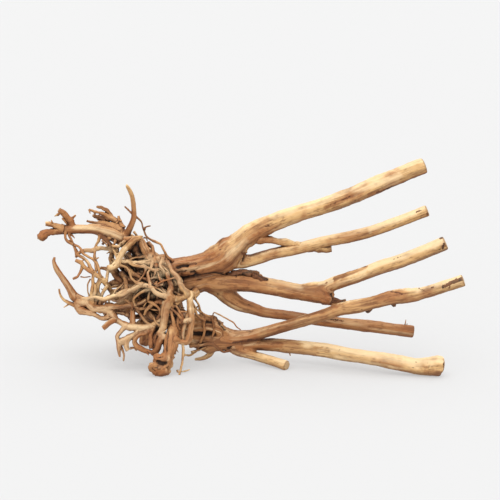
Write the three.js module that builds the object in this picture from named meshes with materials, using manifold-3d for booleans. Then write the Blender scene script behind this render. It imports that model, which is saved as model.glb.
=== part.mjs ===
// A peeled, bleached tree stump lying on its side: a root crown with a tangle of roots on the left and
// sawn-off stems that reach out to the right. One grown piece of wood, so it is one closed solid.
// Millimetres, +Z up, +X to the right along the stems, +Y away from the front. It lies on a surface at Z = 0.

import * as THREE from "three";
import { mergeVertices } from "three/addons/utils/BufferGeometryUtils.js";
import Module from "manifold-3d";

const wasm = await Module();
wasm.setup();

// The wood is laid out as it looks from the front. A place is given by how far across and how far up it
// appears there, in mm at the object's middle, and by how far back it lies (negative is nearer the front).
const VIEW_TILT = THREE.MathUtils.degToRad(12); // the front view looks down by this angle
const VIEW_DISTANCE = 3500;
const VIEW_MIDDLE = 220; // how far up the middle of that view is
const TARGET_HEIGHT = 228; // the height above the surface that the view's middle stands for
const MIDDLE_ACROSS = -3; // the middle of the wood's own box, which becomes the origin
const MIDDLE_BACK = -2;

const FLOOR_BLOCK = 1200; // the block below the surface that wears the feet flat
const MERGE_WITHIN = 1e-4;
const FIRST_SIDE = [0.3, -1, 0.2]; // which way a limb's first corner faces, roughly

// How many sides a limb has, by its thickest radius.
const SIDES = [
  { above: 13, sides: 9 },
  { above: 8, sides: 7 },
  { above: 5.4, sides: 5 },
  { above: 0, sides: 4 },
];

// Turns a place as it is seen from the front into one in the wood's own frame.
function seen(across, up, back) {
  const sine = Math.sin(VIEW_TILT);
  const cosine = Math.cos(VIEW_TILT);
  const tall = up - VIEW_MIDDLE;
  const along = (back - tall * sine) / (cosine + (tall * sine) / VIEW_DISTANCE);
  const grow = 1 + along / VIEW_DISTANCE;
  return new THREE.Vector3(
    across * grow - MIDDLE_ACROSS,
    back - MIDDLE_BACK,
    TARGET_HEIGHT + tall * grow * cosine - along * sine,
  );
}

// A limb from points [across, up, back, radius].
function limb(points) {
  return points.map(([across, up, back, radius]) => ({ place: seen(across, up, back), radius }));
}

// A limb from points [across, up, radius], with its depth given at a few even steps along it.
function root(backs, points) {
  return limb(
    points.map(([across, up, radius], i) => {
      const along = (i / (points.length - 1)) * (backs.length - 1);
      const step = Math.min(Math.floor(along), backs.length - 2);
      return [across, up, THREE.MathUtils.lerp(backs[step], backs[step + 1], along - step), radius];
    }),
  );
}

// The thick wood. The trunk is two bundles of stems grown together, with a cleft between them. The upper
// one runs from the root crown into the top stem, the lower one into the forked stem. Each stem is sawn off.
const TRUNK = [
  limb([[-256, 176, 5, 8], [-235, 172, 5, 15], [-210, 170, 3, 22], [-178, 172, 0, 27],
    [-140, 182, -6, 27], [-110, 187, -10, 25], [-85, 194, -10, 26], [-58, 205, -10, 30.2],
    [-28, 228, -9, 24], [0, 253, -8, 20.5], [50, 277.5, -3, 17.2], [100, 295, 3, 16],
    [150, 310, 10, 15.2], [200, 329, 18, 16.3], [250, 351, 27, 16.4], [300, 371, 34, 15.9],
    [348, 389.5, 40, 15.7]]),
  limb([[-336, 114, -36, 8], [-308, 109, -26, 9], [-275, 116, -10, 11], [-240, 131, 0, 14],
    [-195, 147, 2, 20], [-150, 151, -2, 22.5], [-118, 154, -3, 22], [-90, 161, 0, 20.5],
    [-64, 158, -2, 21], [-30, 156, -8, 17.5], [0, 154, -10, 16], [50, 145.5, -15, 15.4],
    [100, 136, -20, 15.6], [132, 134, -23, 19], [157, 126, -25, 18]]),
];

const STEMS = [
  limb([[-56, 198, -8, 12], [-16, 198, -5, 13.5], [0, 200, -4, 11.8], [50, 214, -5, 11],
    [100, 224.5, -6, 11], [150, 237.5, -8, 10.8], [200, 247.5, -10, 11], [250, 261, -13, 10.8],
    [300, 279, -16, 10.5], [354, 299.5, -20, 11]]),
  limb([[108, 137, -21, 11], [126, 140, -23, 14.5], [148, 147, -24, 14.2], [176, 156.5, -26, 13.2],
    [212, 168, -29, 13.2], [250, 182, -31, 13.3], [300, 198, -34, 13.2], [350, 217.5, -37, 13.7],
    [390, 235, -40, 13.5]]),
  limb([[-92, 36, -3, 8], [-72, 39, -3, 11.6], [-42, 43, -6, 12.2], [0, 48, -16, 11.8],
    [50, 62.5, -33, 10.8], [100, 77, -53, 10.9], [150, 92, -74, 11.6], [180, 102.5, -81, 12.5],
    [212, 107.5, -87, 13.1], [250, 117, -94, 12.8], [285, 127, -101, 14], [305, 128.5, -104, 14.2],
    [330, 131, -108, 12.4], [350, 136, -111, 11.1], [400, 151.5, -118, 11.2], [426, 160, -121, 11]]),
  limb([[-92, 158, 1, 12], [-66, 147, 3, 17], [-44, 128.5, 8, 16.8], [-22, 113.5, 10, 14],
    [0, 105.5, 10, 12], [30, 95.5, 8, 9.7], [70, 90.5, 5, 9.5], [120, 82.5, 3, 9.9],
    [180, 74.5, 0, 10.6], [250, 67, 0, 11.8], [300, 60.5, 0, 11.6], [326, 57.5, 0, 11.8]]),
  limb([[-176, 140, 4, 15], [-166, 112, 7, 17], [-154, 88, 8, 15], [-134, 66, 5, 14], [-104, 53, 0, 15],
    [-70, 44, -3, 14], [-30, 34, -4, 12], [10, 32, -8, 11.6], [50, 31, -14, 13], [100, 26, -27, 13],
    [150, 20.5, -46, 13.4], [200, 11.5, -66, 13.3], [250, 4.5, -84, 13.4], [300, -4.5, -99, 15],
    [330, -11, -106, 15.4], [358, -12, -110, 18.2], [372, -11.5, -111, 20.3],
    [384, -10.5, -112, 20.8]]),
  limb([[-46, 28, -6, 6], [-26, 20, -8, 10.5], [0, 12, -17, 9.2], [39, 0.5, -46, 9.1],
    [73, -10.5, -70, 9.9]]),
];

// Twigs, stubs and knots on the stems.
const TWIGS = [
  root([-14, -16, -12], [[-78, 216, 5], [-63, 228, 9], [-51, 237, 10], [-36, 236, 7]]),
  root([-13, -11], [[-46, 170, 3.2], [-22, 175, 5.2], [2, 175, 5], [19, 174.5, 3.2]]),
  root([-18, -20], [[4, 169, 3.6], [20, 165, 4], [36, 162, 3]]),
  root([-8, -5], [[-10, 236, 8], [8, 243, 7], [30, 243, 6.4], [55, 239, 5.4], [82, 234, 5.2],
    [105, 228, 6]]),
  root([-6, -8], [[104, 224, 6], [134, 222, 6.2], [163, 221.5, 6.5]]),
  root([-18, -14], [[138, 128, 8], [166, 119, 6], [190, 118.5, 5.6]]),
  root([-100, -104], [[296, 132, 6], [285, 118, 5], [288, 108, 2.5]]),
  root([-90, -92], [[244, 112, 6], [236, 101, 5], [232, 96, 2]]),
  root([-10, -14], [[-20, 30, 8], [-32, 25, 6], [-39, 22, 3]]),
];

// Short, thick limbs of the root crown, up to the arm and down behind the roots.
const CROWN = [
  limb([[-172, 172, 0, 25], [-206, 203, 0, 19], [-228, 225, -3, 15], [-250, 241, -8, 12]]),
  limb([[-165, 150, 0, 24], [-180, 122, 5, 21], [-192, 102, 5, 15], [-204, 86, 0, 8]]),
];

// The low crown that carries the two lower stems, with its own small foot.
const LOW_CROWN = [
  limb([[-122, 71, -6, 6], [-98, 74, -5, 9], [-73, 73, -5, 10], [-54, 60, -6, 9], [-34, 51, -7, 9],
    [-8, 50, -12, 8]]),
  limb([[-120, 61, -12, 6], [-92, 62, -13, 7], [-62, 55, -10, 9]]),
  limb([[-124, 42, -4, 8], [-102, 34, -6, 11], [-80, 30, -6, 12], [-52, 33, -6, 12],
    [-20, 33, -7, 12]]),
  limb([[-82, 27, -4, 11], [-79, 16, -3, 7], [-86, 8, -2, 5], [-98, 3.5, 0, 3.6], [-111, 1.5, 2, 2.4]]),
];

// The long arm to the left, with the stub on its end and the branch that stands on it.
const ARM = [
  limb([[-240, 232, -6, 13], [-262, 245, -10, 13], [-280, 253, -10, 12], [-300, 259, -10, 10.5],
    [-320, 262, -10, 8.5], [-342, 262, -10, 8.6], [-370, 262, -10, 9], [-386, 260, -10, 8],
    [-398, 256.5, -11, 5.6], [-408, 254, -12, 6], [-416, 249, -13, 8.6], [-420, 242, -14, 5.5]]),
  root([-10, -12], [[-372, 264, 5], [-388, 268, 4], [-398, 271, 2.6], [-408, 272, 2]]),
  root([-10, -15], [[-356, 261, 6], [-359, 273, 6.2], [-364, 283, 6], [-372, 294, 4.8],
    [-381, 300, 4]]),
];

// Roots that stand up above the crown.
const HORNS = [
  root([-8, -22, -30, -45], [[-246, 236, 9], [-246, 253, 6.5], [-242, 263, 5.8], [-237, 274, 5.2],
    [-233, 286, 4.8], [-233, 300, 4.3], [-234, 315, 4], [-237, 330, 3.8], [-244, 345, 3],
    [-249, 352, 1.5]]),
  root([-32, -18, -20, -32, -16], [[-252, 308, 1.5], [-238, 295, 2], [-218, 276, 2.5], [-213, 262, 2.6],
    [-207, 248, 2.7], [-196, 239, 2.8], [-180, 232, 2.5], [-172, 219, 2.3], [-166, 208, 2.7],
    [-155, 198, 3.4]]),
  root([6, 12], [[-306, 308, 2], [-296, 304, 2.3], [-285, 298, 3], [-281, 288, 3.4], [-276, 281, 4]]),
  root([0, 10], [[-323, 301, 1.7], [-306, 296.5, 2.4], [-294, 292, 3], [-281, 283, 5]]),
  root([13, 12], [[-314, 289, 2.4], [-306, 285, 4], [-296, 281, 4], [-284, 281, 4]]),
  root([10, 5, -6], [[-290, 284, 5], [-276, 283, 5.6], [-266, 275, 5.2], [-257, 260, 6.5],
    [-248, 244, 9]]),
  root([4, 0, -6], [[-295, 275, 2.5], [-284, 272, 4.4], [-270, 263, 5.6], [-256, 248, 8]]),
];

// Thin roots under the arm, which drop to the roots below.
const HANGING = [
  root([-14, -22, -22], [[-366, 268, 2.6], [-370, 256, 2.1], [-369, 243, 2.1], [-362, 237, 2.1],
    [-353, 232, 2.3]]),
  root([-12, -20, -28], [[-361, 258, 3.2], [-363, 251, 2.5], [-357, 240, 2.3], [-351, 226, 2.3],
    [-346, 212, 3.5], [-348, 206, 2.2]]),
  root([-22, -50], [[-353, 231, 2.3], [-343, 227, 2.1], [-334, 214, 2.1], [-320, 206, 2.1],
    [-309, 198, 2.1], [-303, 183, 2.1], [-299, 165, 2.3]]),
  root([-28, -50], [[-346, 213, 2.7], [-333, 202, 2.6], [-324, 195, 2.7], [-317, 177, 3.2]]),
  root([-28, -26, -12], [[-346, 213, 2.6], [-336, 218, 2.8], [-320, 221, 3.5], [-302, 225, 3.7],
    [-284, 223, 3.8], [-268, 216, 4.2], [-244, 206, 5]]),
  root([-14, -32, -51], [[-297, 256, 5.5], [-302, 242, 4], [-308, 229, 3.1], [-310, 216, 3.9],
    [-310, 200, 3.4], [-309, 186, 2.8], [-310, 170, 2.8]]),
  root([-46, -52, -48, -14], [[-350, 201, 3.2], [-339, 195, 4], [-329, 185, 4], [-316, 175, 4.6],
    [-298, 162, 5], [-288, 154, 4.6], [-280, 141, 4.2], [-268, 124, 5]]),
  root([-48, -56], [[-333, 190, 3.2], [-339, 180, 2.6], [-345, 168, 2.5], [-355, 163, 2.2]]),
  root([-6, -5, 0], [[-277, 222, 4.4], [-277, 204, 6], [-273, 184, 5.4], [-258, 168, 6.5]]),
];

// The horned root at the far left and the mass it grows from.
const LEFT = [
  root([-34, -42, -46], [[-334, 117, 10], [-351, 127, 9], [-359, 140, 6.6], [-368, 154, 5.8],
    [-379, 170, 5], [-388, 184, 4.4], [-393, 200, 2.6], [-390, 208, 1.5]]),
  root([-38, -48], [[-338, 108, 5.6], [-352, 111, 3.8], [-367, 118, 2.6], [-379, 128, 2.1],
    [-381, 144, 1.4]]),
  root([-38, -57, -56], [[-346, 116, 7], [-338, 101, 7], [-322, 95.5, 5.6], [-309, 90, 4],
    [-296, 84.5, 3.4], [-280, 88, 5.5]]),
  root([-42, -56, -46], [[-342, 118, 7], [-325, 116, 7], [-310, 107, 9.5], [-294, 106, 9],
    [-280, 99, 9], [-264, 98, 6]]),
  root([-50, -64, -65, -50], [[-284, 106, 8], [-260, 107, 5.4], [-236, 109, 5], [-220, 114, 4.8],
    [-204, 124, 5], [-188, 134, 6]]),
  root([-50, -52, -50], [[-316, 116, 4.5], [-316, 136, 3.6], [-315, 155, 3.1], [-315, 175, 3.2]]),
  root([-46, -45, -50], [[-310, 112, 6.5], [-308, 130, 4.9], [-307, 146, 4.8], [-299, 161, 5]]),
  root([-48, -52, -50], [[-285, 149, 3.2], [-292, 140, 2.7], [-297, 127, 2.7], [-300, 112, 3.5]]),
  root([-38, -52, -67], [[-249, 163, 4.5], [-248, 148, 4.1], [-246, 133, 4.6]]),
];

// Roots that cross the front of the crown.
const FRONT = [
  root([-42, -58, -68, -76, -79, -75], [[-347, 128, 5], [-326, 126, 5], [-302, 125, 5.2],
    [-278, 127, 6], [-255, 132, 5.3], [-236, 142, 5.5], [-215, 149, 6], [-194, 141, 5.7],
    [-173, 128, 6.2], [-158, 124, 7.5]]),
  root([-14, -38, -50, -56], [[-211, 236, 9], [-224, 243.5, 7.6], [-236, 241, 7.6], [-246, 232, 8],
    [-254, 219, 8], [-262, 205, 7.8], [-271, 190, 7.8], [-279, 184.5, 7], [-287, 183, 4.2]]),
  root([-10, -34, -32, -20], [[-217, 240, 9], [-211, 228, 10], [-209, 214, 10], [-202, 204, 7.4],
    [-190, 198, 6]]),
  root([-10, -32, -22], [[-203, 234, 5], [-196, 224, 4.2], [-193, 209, 4.2], [-187, 196, 5.5]]),
  root([-12, -36, -38, -26], [[-258, 174, 5.5], [-244, 164, 4.6], [-226, 159, 4.3], [-205, 159, 6]]),
  root([-24, -46, -44, -28], [[-247, 202, 4.2], [-243, 186, 4.5], [-237, 175, 4.4], [-222, 171, 4.1],
    [-202, 170, 4.4], [-184, 168, 6]]),
  root([-46, -42, -38, -22], [[-264, 199, 4.2], [-246, 198, 4.1], [-228, 194, 4.1], [-208, 195, 5],
    [-188, 192, 6.5]]),
  root([-22, -40, -32], [[-213, 190, 5.5], [-198, 181, 4.6], [-184, 173, 4.6], [-170, 169, 6]]),
  root([-6, -48, -18], [[-216, 166, 8], [-200, 158, 7.5], [-188, 153, 7.5], [-174, 147, 8]]),
  root([-30, -50, -50, -22], [[-192, 168, 5.5], [-180, 155, 4.7], [-170, 150, 4.7], [-158, 153, 5.2],
    [-144, 158, 7]]),
  root([-20, -52, -62, -62, -24], [[-176, 205, 4.4], [-165, 193, 4.2], [-155, 179, 4.5],
    [-147, 166, 5.1], [-141, 153, 5.3], [-134, 141, 6.4], [-127, 133, 8], [-117, 130, 6.4],
    [-106, 136, 8]]),
  root([-24, -56, -73], [[-174, 196, 5], [-167, 180, 4.2], [-162, 165, 4.2], [-158, 148, 5],
    [-160, 128, 6.5]]),
  root([-59, -65, -74], [[-125, 134, 7], [-136, 126, 7], [-149, 123, 7.3], [-163, 123, 7.8]]),
  root([-61, -67, -75], [[-133, 127, 5.4], [-143, 117, 4.6], [-156, 107, 4.3], [-168, 94, 5.6]]),
  root([-74, -78, -83, -86, -83], [[-158, 127, 7.5], [-167, 114, 7.7], [-170, 98, 7.7], [-171, 83, 7.5],
    [-174, 66, 6.4], [-178, 51, 5.8], [-182, 35, 5.6], [-188, 22, 5.5], [-197, 11.5, 5]]),
  root([-59, -73, -83, -90, -95], [[-120, 133, 6.4], [-121, 118, 6.3], [-119, 97, 6.1], [-118, 80, 5.6],
    [-119, 62, 5.1], [-120, 46, 5], [-127, 36, 4.8], [-140, 36, 4.4], [-155, 41, 6.5]]),
  root([-68, -80, -91, -108], [[-121, 111, 4.6], [-126, 92, 3.2], [-129, 74, 2.9], [-135, 57, 2.7],
    [-135, 36, 2.5], [-134, 12, 2.3], [-138, -14, 2.3], [-142, -29, 2.1]]),
];

// The club-footed root at the front, which carries the crown.
const CLUB_FOOT = [
  limb([[-160, 112, -2, 15], [-151, 99, -34, 11.5], [-149, 84, -63, 9.8], [-154, 66, -78, 9.6],
    [-157, 48, -89, 10.4], [-159, 32, -96, 10.4], [-161, 18, -103, 9.6], [-165, 5, -107, 11.8],
    [-171, -5, -111, 17.4], [-179, -11.5, -113, 22.4], [-190, -12.5, -114, 17.6],
    [-199, -13, -115, 9]]),
];

// Roots low on the left.
const LOW_LEFT = [
  root([-26, -57, -69], [[-228, 106, 9], [-210, 98, 8.2], [-194, 89, 8], [-182, 82, 6.6],
    [-172, 78, 7.2]]),
  root([-67, -70, -70, -64, -54], [[-176, 81, 6.5], [-197, 70, 5.3], [-215, 66, 5.6], [-236, 67, 6.2],
    [-254, 73, 6], [-268, 81, 6.4], [-280, 94, 8]]),
  root([-57, -69], [[-236, 112, 4.5], [-236, 90, 4.6], [-237, 68, 5]]),
  root([-65, -69], [[-270, 83, 5.4], [-284, 73, 4.6], [-295, 64, 4.2]]),
  root([-70, -74, -78], [[-248, 70, 5.5], [-259, 59, 3.8], [-265, 47, 3.3], [-262, 33, 4.5],
    [-263, 20, 3.2], [-261, 5, 1.5]]),
  root([-74, -78], [[-262, 33, 3], [-256, 22, 2], [-253, 10, 1.9], [-254, 0, 1.7]]),
  root([-70, -76], [[-206, 66, 5], [-226, 56, 4.6], [-240, 46, 6], [-259, 36, 6]]),
  root([-75, -78], [[-247, 41, 5.6], [-246, 30, 5.2], [-243, 20, 4]]),
  root([-70, -78, -78], [[-195, 63, 4.6], [-212, 54, 4.6], [-227, 48, 4.8], [-230, 36, 5.2],
    [-222, 26, 5.2], [-209, 20, 4.2], [-197, 17, 3]]),
  root([-68, -79], [[-181, 83, 5], [-192, 67, 3.8], [-199, 47, 4.5], [-199, 32, 4.9], [-196, 23, 3.8]]),
];

// Two roots at the back that reach the surface and hold the crown up.
const BACK_FEET = [
  limb([[-188, 150, 10, 18], [-193, 129, 42, 13], [-199, 107, 68, 10.6], [-205, 82, 91, 9.6],
    [-209, 57, 108, 9.8], [-211, 39, 118, 11.6], [-213, 39, 128, 8.6]]),
  limb([[-150, 110, 10, 15], [-138, 92, 36, 10], [-122, 72, 58, 7.6], [-104, 46, 76, 6.6],
    [-92, 25, 88, 6.4]]),
];

// The roots that only the back shows grow by a rule: they leave the crown in a fan, bend outwards on their
// way to the back, thin out, and carry a rootlet each.
const BACK_ROOTS = {
  seed: 2948,
  count: 9,
  stagger: 0.7, // how far round a root may stray, as a share of the way to the next
  from: { across: -196, up: 160, back: 4, fanAcross: 26, fanUp: 22, radius: 11 },
  to: { across: -226, up: 142, fanAcross: 86, fanUp: 84, leastFan: 0.5, radius: 2.6 },
  reach: { nearest: 74, farthest: 138 },
  middle: { share: 0.5, swell: 1.28, radius: 7.2, bend: 10 },
  rootlet: { radius: 3, tip: 1.8, reach: 44, bow: 0.6, backward: 0.5 },
};

// A seeded draw between 0 and 1, the same on every run.
function draws(seed) {
  let state = seed;
  return () => {
    state = (Math.imul(state, 1664525) + 1013904223) >>> 0;
    return state / 2 ** 32;
  };
}

function backRoots(rule) {
  const draw = draws(rule.seed);
  const swing = (size) => (2 * draw() - 1) * size;
  const limbs = [];
  for (let n = 0; n < rule.count; n += 1) {
    const turn = (2 * Math.PI * (n + rule.stagger * draw())) / rule.count;
    const fan = (centre, wide, tall, share) => [
      centre.across + share * wide * Math.cos(turn),
      centre.up + share * tall * Math.sin(turn),
    ];
    const start = [...fan(rule.from, rule.from.fanAcross, rule.from.fanUp, 1), rule.from.back];
    const far = THREE.MathUtils.lerp(rule.reach.nearest, rule.reach.farthest, draw());
    const spread = THREE.MathUtils.lerp(rule.to.leastFan, 1, draw());
    const end = [...fan(rule.to, rule.to.fanAcross, rule.to.fanUp, spread), far];
    const at = (share, swell) => start.map((value, axis) => {
      const straight = THREE.MathUtils.lerp(value, end[axis], share);
      return (axis === 2 ? straight : value + (straight - value) * swell) + swing(rule.middle.bend);
    });
    const { share, swell, radius } = rule.middle;
    const points = [
      [...start, rule.from.radius],
      [...at(share / 2, swell), (rule.from.radius + radius) / 2],
      [...at(share, swell), radius],
      [...at((1 + share) / 2, 1), (rule.to.radius + radius) / 2],
      [...end, rule.to.radius],
    ];
    limbs.push(limb(points));
    const fork = points[2].slice(0, 3);
    const { rootlet } = rule;
    const reach = fork.map(() => swing(rootlet.reach));
    const bow = fork.map((value, axis) => value + rootlet.bow * reach[axis] + swing(rule.middle.bend));
    const back = rootlet.backward * rootlet.reach;
    const tip = fork.map((value, axis) => value + reach[axis] + (axis === 2 ? back : 0));
    limbs.push(limb([[...fork, rootlet.radius], [...bow, rootlet.radius], [...tip, rootlet.tip]]));
  }
  return limbs;
}

// One closed solid along a limb: a unit cylinder with a ring at each point, carried along the limb's curve.
// Its section turns as little as it can from ring to ring, and has the same area as a round limb's.
function sweep(points) {
  const curve = new THREE.CatmullRomCurve3(points.map((point) => point.place), false, "centripetal");
  const thickest = Math.max(...points.map((point) => point.radius));
  const { sides } = SIDES.find((row) => thickest > row.above);
  const wedge = (2 * Math.PI) / sides;
  const girth = Math.sqrt(wedge / Math.sin(wedge));
  const rings = points.length - 1;
  const shape = new THREE.CylinderGeometry(1, 1, 1, sides, rings);
  const position = shape.getAttribute("position");
  const side = new THREE.Vector3(...FIRST_SIDE);
  const frames = points.map((point, ring) => {
    const along = curve.getTangent(ring / rings);
    side.addScaledVector(along, -side.dot(along)).normalize();
    return { across: side.clone(), up: new THREE.Vector3().crossVectors(along, side) };
  });
  for (let i = 0; i < position.count; i += 1) {
    const ring = Math.round((0.5 - position.getY(i)) * rings);
    const reach = points[ring].radius * girth;
    const place = points[ring].place.clone();
    place.addScaledVector(frames[ring].across, position.getX(i) * reach);
    place.addScaledVector(frames[ring].up, position.getZ(i) * reach);
    position.setXYZ(i, place.x, place.y, place.z);
  }
  return solidOf(shape);
}

// A manifold solid from a closed three.js geometry, turned the right way out.
function solidOf(geometry) {
  const bare = geometry.clone();
  bare.deleteAttribute("normal");
  bare.deleteAttribute("uv");
  const merged = mergeVertices(bare, MERGE_WITHIN);
  const make = () => new wasm.Manifold(new wasm.Mesh({
    numProp: 3,
    vertProperties: new Float32Array(merged.getAttribute("position").array),
    triVerts: new Uint32Array(merged.getIndex().array),
  }));
  const solid = make();
  if (solid.volume() > 0) {
    return solid;
  }
  const corners = merged.getIndex().array;
  for (let i = 0; i < corners.length; i += 3) {
    [corners[i], corners[i + 1]] = [corners[i + 1], corners[i]];
  }
  return make();
}

// Joins the limbs, wears the feet flat at the surface, and keeps the one body that they make: a hollow that
// the joining seals is filled, and a loose scrap is dropped.
function grow(limbs) {
  const joined = wasm.Manifold.union(limbs.map(sweep));
  const block = new THREE.BoxGeometry(FLOOR_BLOCK, FLOOR_BLOCK, FLOOR_BLOCK);
  block.translate(0, 0, -FLOOR_BLOCK / 2);
  const bodies = joined.subtract(solidOf(block)).decompose();
  return bodies.reduce((best, body) => (body.volume() > best.volume() ? body : best));
}

// The geometry of a finished solid.
function geometryOf(solid) {
  const { vertProperties, triVerts } = solid.getMesh();
  const geometry = new THREE.BufferGeometry();
  geometry.setAttribute("position", new THREE.BufferAttribute(vertProperties, 3));
  geometry.setIndex(new THREE.BufferAttribute(triVerts, 1));
  geometry.computeVertexNormals();
  return geometry;
}

const LIMBS = [
  TRUNK, STEMS, TWIGS, CROWN, LOW_CROWN, ARM, HORNS, HANGING, LEFT, FRONT, CLUB_FOOT, LOW_LEFT, BACK_FEET,
  backRoots(BACK_ROOTS),
].flat();

const weatheredWood = new THREE.MeshStandardMaterial({ color: 0xc08a58, roughness: 0.72, metalness: 0 });

const stump = new THREE.Mesh(geometryOf(grow(LIMBS)), weatheredWood);
stump.name = "stump";

const treeStump = new THREE.Group();
treeStump.add(stump);

export default treeStump;
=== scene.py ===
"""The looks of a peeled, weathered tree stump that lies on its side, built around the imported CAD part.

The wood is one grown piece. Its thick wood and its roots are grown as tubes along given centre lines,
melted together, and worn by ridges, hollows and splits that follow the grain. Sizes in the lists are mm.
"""

import logging
import math
from collections.abc import Iterator
from dataclasses import dataclass, field
from enum import Enum
from functools import partial

import bmesh
import bpy
import numpy as np
from bpy.types import Material, Mesh, NodeSocket, NodeTree, Object
from mathutils import Matrix, Vector
from mathutils.bvhtree import BVHTree


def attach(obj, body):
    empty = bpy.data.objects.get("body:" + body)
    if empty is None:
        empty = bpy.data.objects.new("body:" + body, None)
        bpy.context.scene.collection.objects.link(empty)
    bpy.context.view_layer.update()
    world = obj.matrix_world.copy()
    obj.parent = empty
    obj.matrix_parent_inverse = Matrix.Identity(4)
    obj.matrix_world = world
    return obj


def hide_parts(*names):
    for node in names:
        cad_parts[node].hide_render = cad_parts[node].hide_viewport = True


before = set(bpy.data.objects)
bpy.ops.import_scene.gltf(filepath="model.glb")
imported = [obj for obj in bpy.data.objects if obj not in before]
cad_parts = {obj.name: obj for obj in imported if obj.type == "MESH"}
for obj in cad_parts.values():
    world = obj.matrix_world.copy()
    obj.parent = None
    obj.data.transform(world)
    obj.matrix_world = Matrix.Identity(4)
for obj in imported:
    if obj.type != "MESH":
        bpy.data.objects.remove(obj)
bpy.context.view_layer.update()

MM = 0.001
NODE = "stump"
BODY = "root"
FAR = 1e3  # farther than any of the wood, in mm
TINY = 1e-9  # keeps a division off zero
SAW_RIM = 0.22  # how far a saw cut's rim is rounded, as a share of the radius
LEAST_DIP, MOST_BULGE = 0.8, 1.1  # how far a curve's radius may leave those of the points beside it
THICK_FROM, ROOT_FROM = 8.3, 3.3  # the radii from which a limb is thick wood, or a root and no rootlet

Place = tuple[float, float, float]
Waves = tuple[Place, ...]  # the size across, the length along and the share of each

log = logging.getLogger("tree_stump")


class Ending(Enum):
    """How a limb's far end looks."""

    WORN = "rounded by wear"
    SAWN = "cut square by a saw"


class Sort(Enum):
    """What a listed mark on the wood is."""

    BARK = "bark"
    STAIN = "stain"
    SHADED_HOLLOW = "shaded_hollow"
    BUMP = "bump"
    ROUGH = "rough"
    PAINTED_HIGHLIGHT = "painted_highlight"


@dataclass(frozen=True)
class FrontView:
    """The front view that the wood is laid out in, in mm.

    A place is given by how far across and how far up it appears there, measured at the object's middle, and
    by how far back it lies (negative is nearer the front). The CAD part is laid out by the same rule.
    """

    tilt: float = math.radians(12)
    distance: float = 3500.0
    middle: float = 220.0
    target_height: float = 228.0
    middle_across: float = -3.0
    middle_back: float = -2.0

    def place(self, across: float, up: float, back: float) -> Place:
        """Turns a place as it is seen into one in the part's frame.

        Args:
            across: How far to the right it appears.
            up: How far up it appears.
            back: How far back it lies.

        Returns:
            The place as x, y, z.
        """
        sine, cosine = math.sin(self.tilt), math.cos(self.tilt)
        tall = up - self.middle
        along = (back - tall * sine) / (cosine + tall * sine / self.distance)
        grow = 1 + along / self.distance
        return (
            across * grow - self.middle_across,
            back - self.middle_back,
            self.target_height + tall * grow * cosine - along * sine,
        )

    def appear(self, places: np.ndarray) -> tuple[np.ndarray, np.ndarray]:
        """Tells where places in the part's frame appear, the other way round.

        Args:
            places: Rows of x, y, z.

        Returns:
            How far across and how far up each appears.
        """
        sine, cosine = math.sin(self.tilt), math.cos(self.tilt)
        x = places[:, 0] + self.middle_across
        y = places[:, 1] + self.middle_back
        z = places[:, 2] - self.target_height
        along = y * cosine - z * sine
        grow = 1 + along / self.distance
        return x / grow, self.middle + (y * sine + z * cosine) / grow


VIEW = FrontView()


@dataclass(frozen=True)
class Limb:
    """A stem, root or twig: places along its middle with a radius at each."""

    places: tuple[Place, ...]
    radii: tuple[float, ...]
    ending: Ending = Ending.WORN
    rim: float = SAW_RIM

    @property
    def thickest(self) -> float:
        """The limb's largest radius."""
        return max(self.radii)


def limb(*points: list[float], ending: Ending = Ending.WORN, rim: float = SAW_RIM) -> Limb:
    """Makes a limb from points as the front view shows them.

    Args:
        *points: The across, up, back and radius of each.
        ending: How its last point ends.
        rim: How far a saw cut's rim is rounded, as a share of the radius.

    Returns:
        The limb, in the part's frame.
    """
    places = tuple(VIEW.place(across, up, back) for across, up, back, _ in points)
    return Limb(places, tuple(point[3] for point in points), ending, rim)


def sawn(*points: list[float], rim: float = SAW_RIM) -> Limb:
    """Makes a limb that ends in a saw cut, from the across, up, back and radius of its points."""
    return limb(*points, ending=Ending.SAWN, rim=rim)


def root(backs: list[float], *points: list[float], ending: Ending = Ending.WORN) -> Limb:
    """Makes a limb whose depth is given at a few even steps along it.

    Args:
        backs: How far back it lies at even steps.
        *points: The across, up and radius of each.
        ending: How its last point ends.

    Returns:
        The limb, in the part's frame.
    """
    steps = np.linspace(0, len(backs) - 1, len(points))
    depths = np.interp(steps, range(len(backs)), backs)
    rows = [[across, up, float(back), radius] for (across, up, radius), back in zip(points, depths)]
    return limb(*rows, ending=ending)


# The trunk: two bundles of stems grown together, which run on into the top stem and the forked stem.
TRUNK = [
    sawn([-256, 176, 5, 8], [-235, 172, 5, 15], [-210, 170, 3, 22], [-178, 172, 0, 27], [-140, 180, -6, 24.4],
        [-110, 185.5, -10, 23.4], [-85, 192.5, -10, 24.4], [-58, 203.5, -10, 28.6], [-28, 228, -9, 24],
        [0, 253, -8, 20.5], [50, 277.5, -3, 17.2], [100, 295, 3, 16], [150, 310, 10, 15.2],
        [200, 328, 18, 15.9], [250, 350, 27, 16.2], [300, 371, 34, 15.9], [348, 389.5, 40, 15.7]),
    limb([-336, 112, -36, 7], [-308, 104, -26, 7], [-275, 103, -14, 8], [-238, 122, -2, 12],
        [-195, 147, 2, 20], [-150, 151, -2, 22.5], [-118, 154, -3, 22], [-90, 161, 0, 20.5],
        [-64, 158, -2, 21], [-30, 156, -8, 17.5], [0, 154, -10, 16], [50, 145.5, -15, 15.4],
        [100, 136, -20, 15.6], [132, 134, -23, 18.4], [150, 129, -25, 16], [160, 124, -25, 11]),
]

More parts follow.
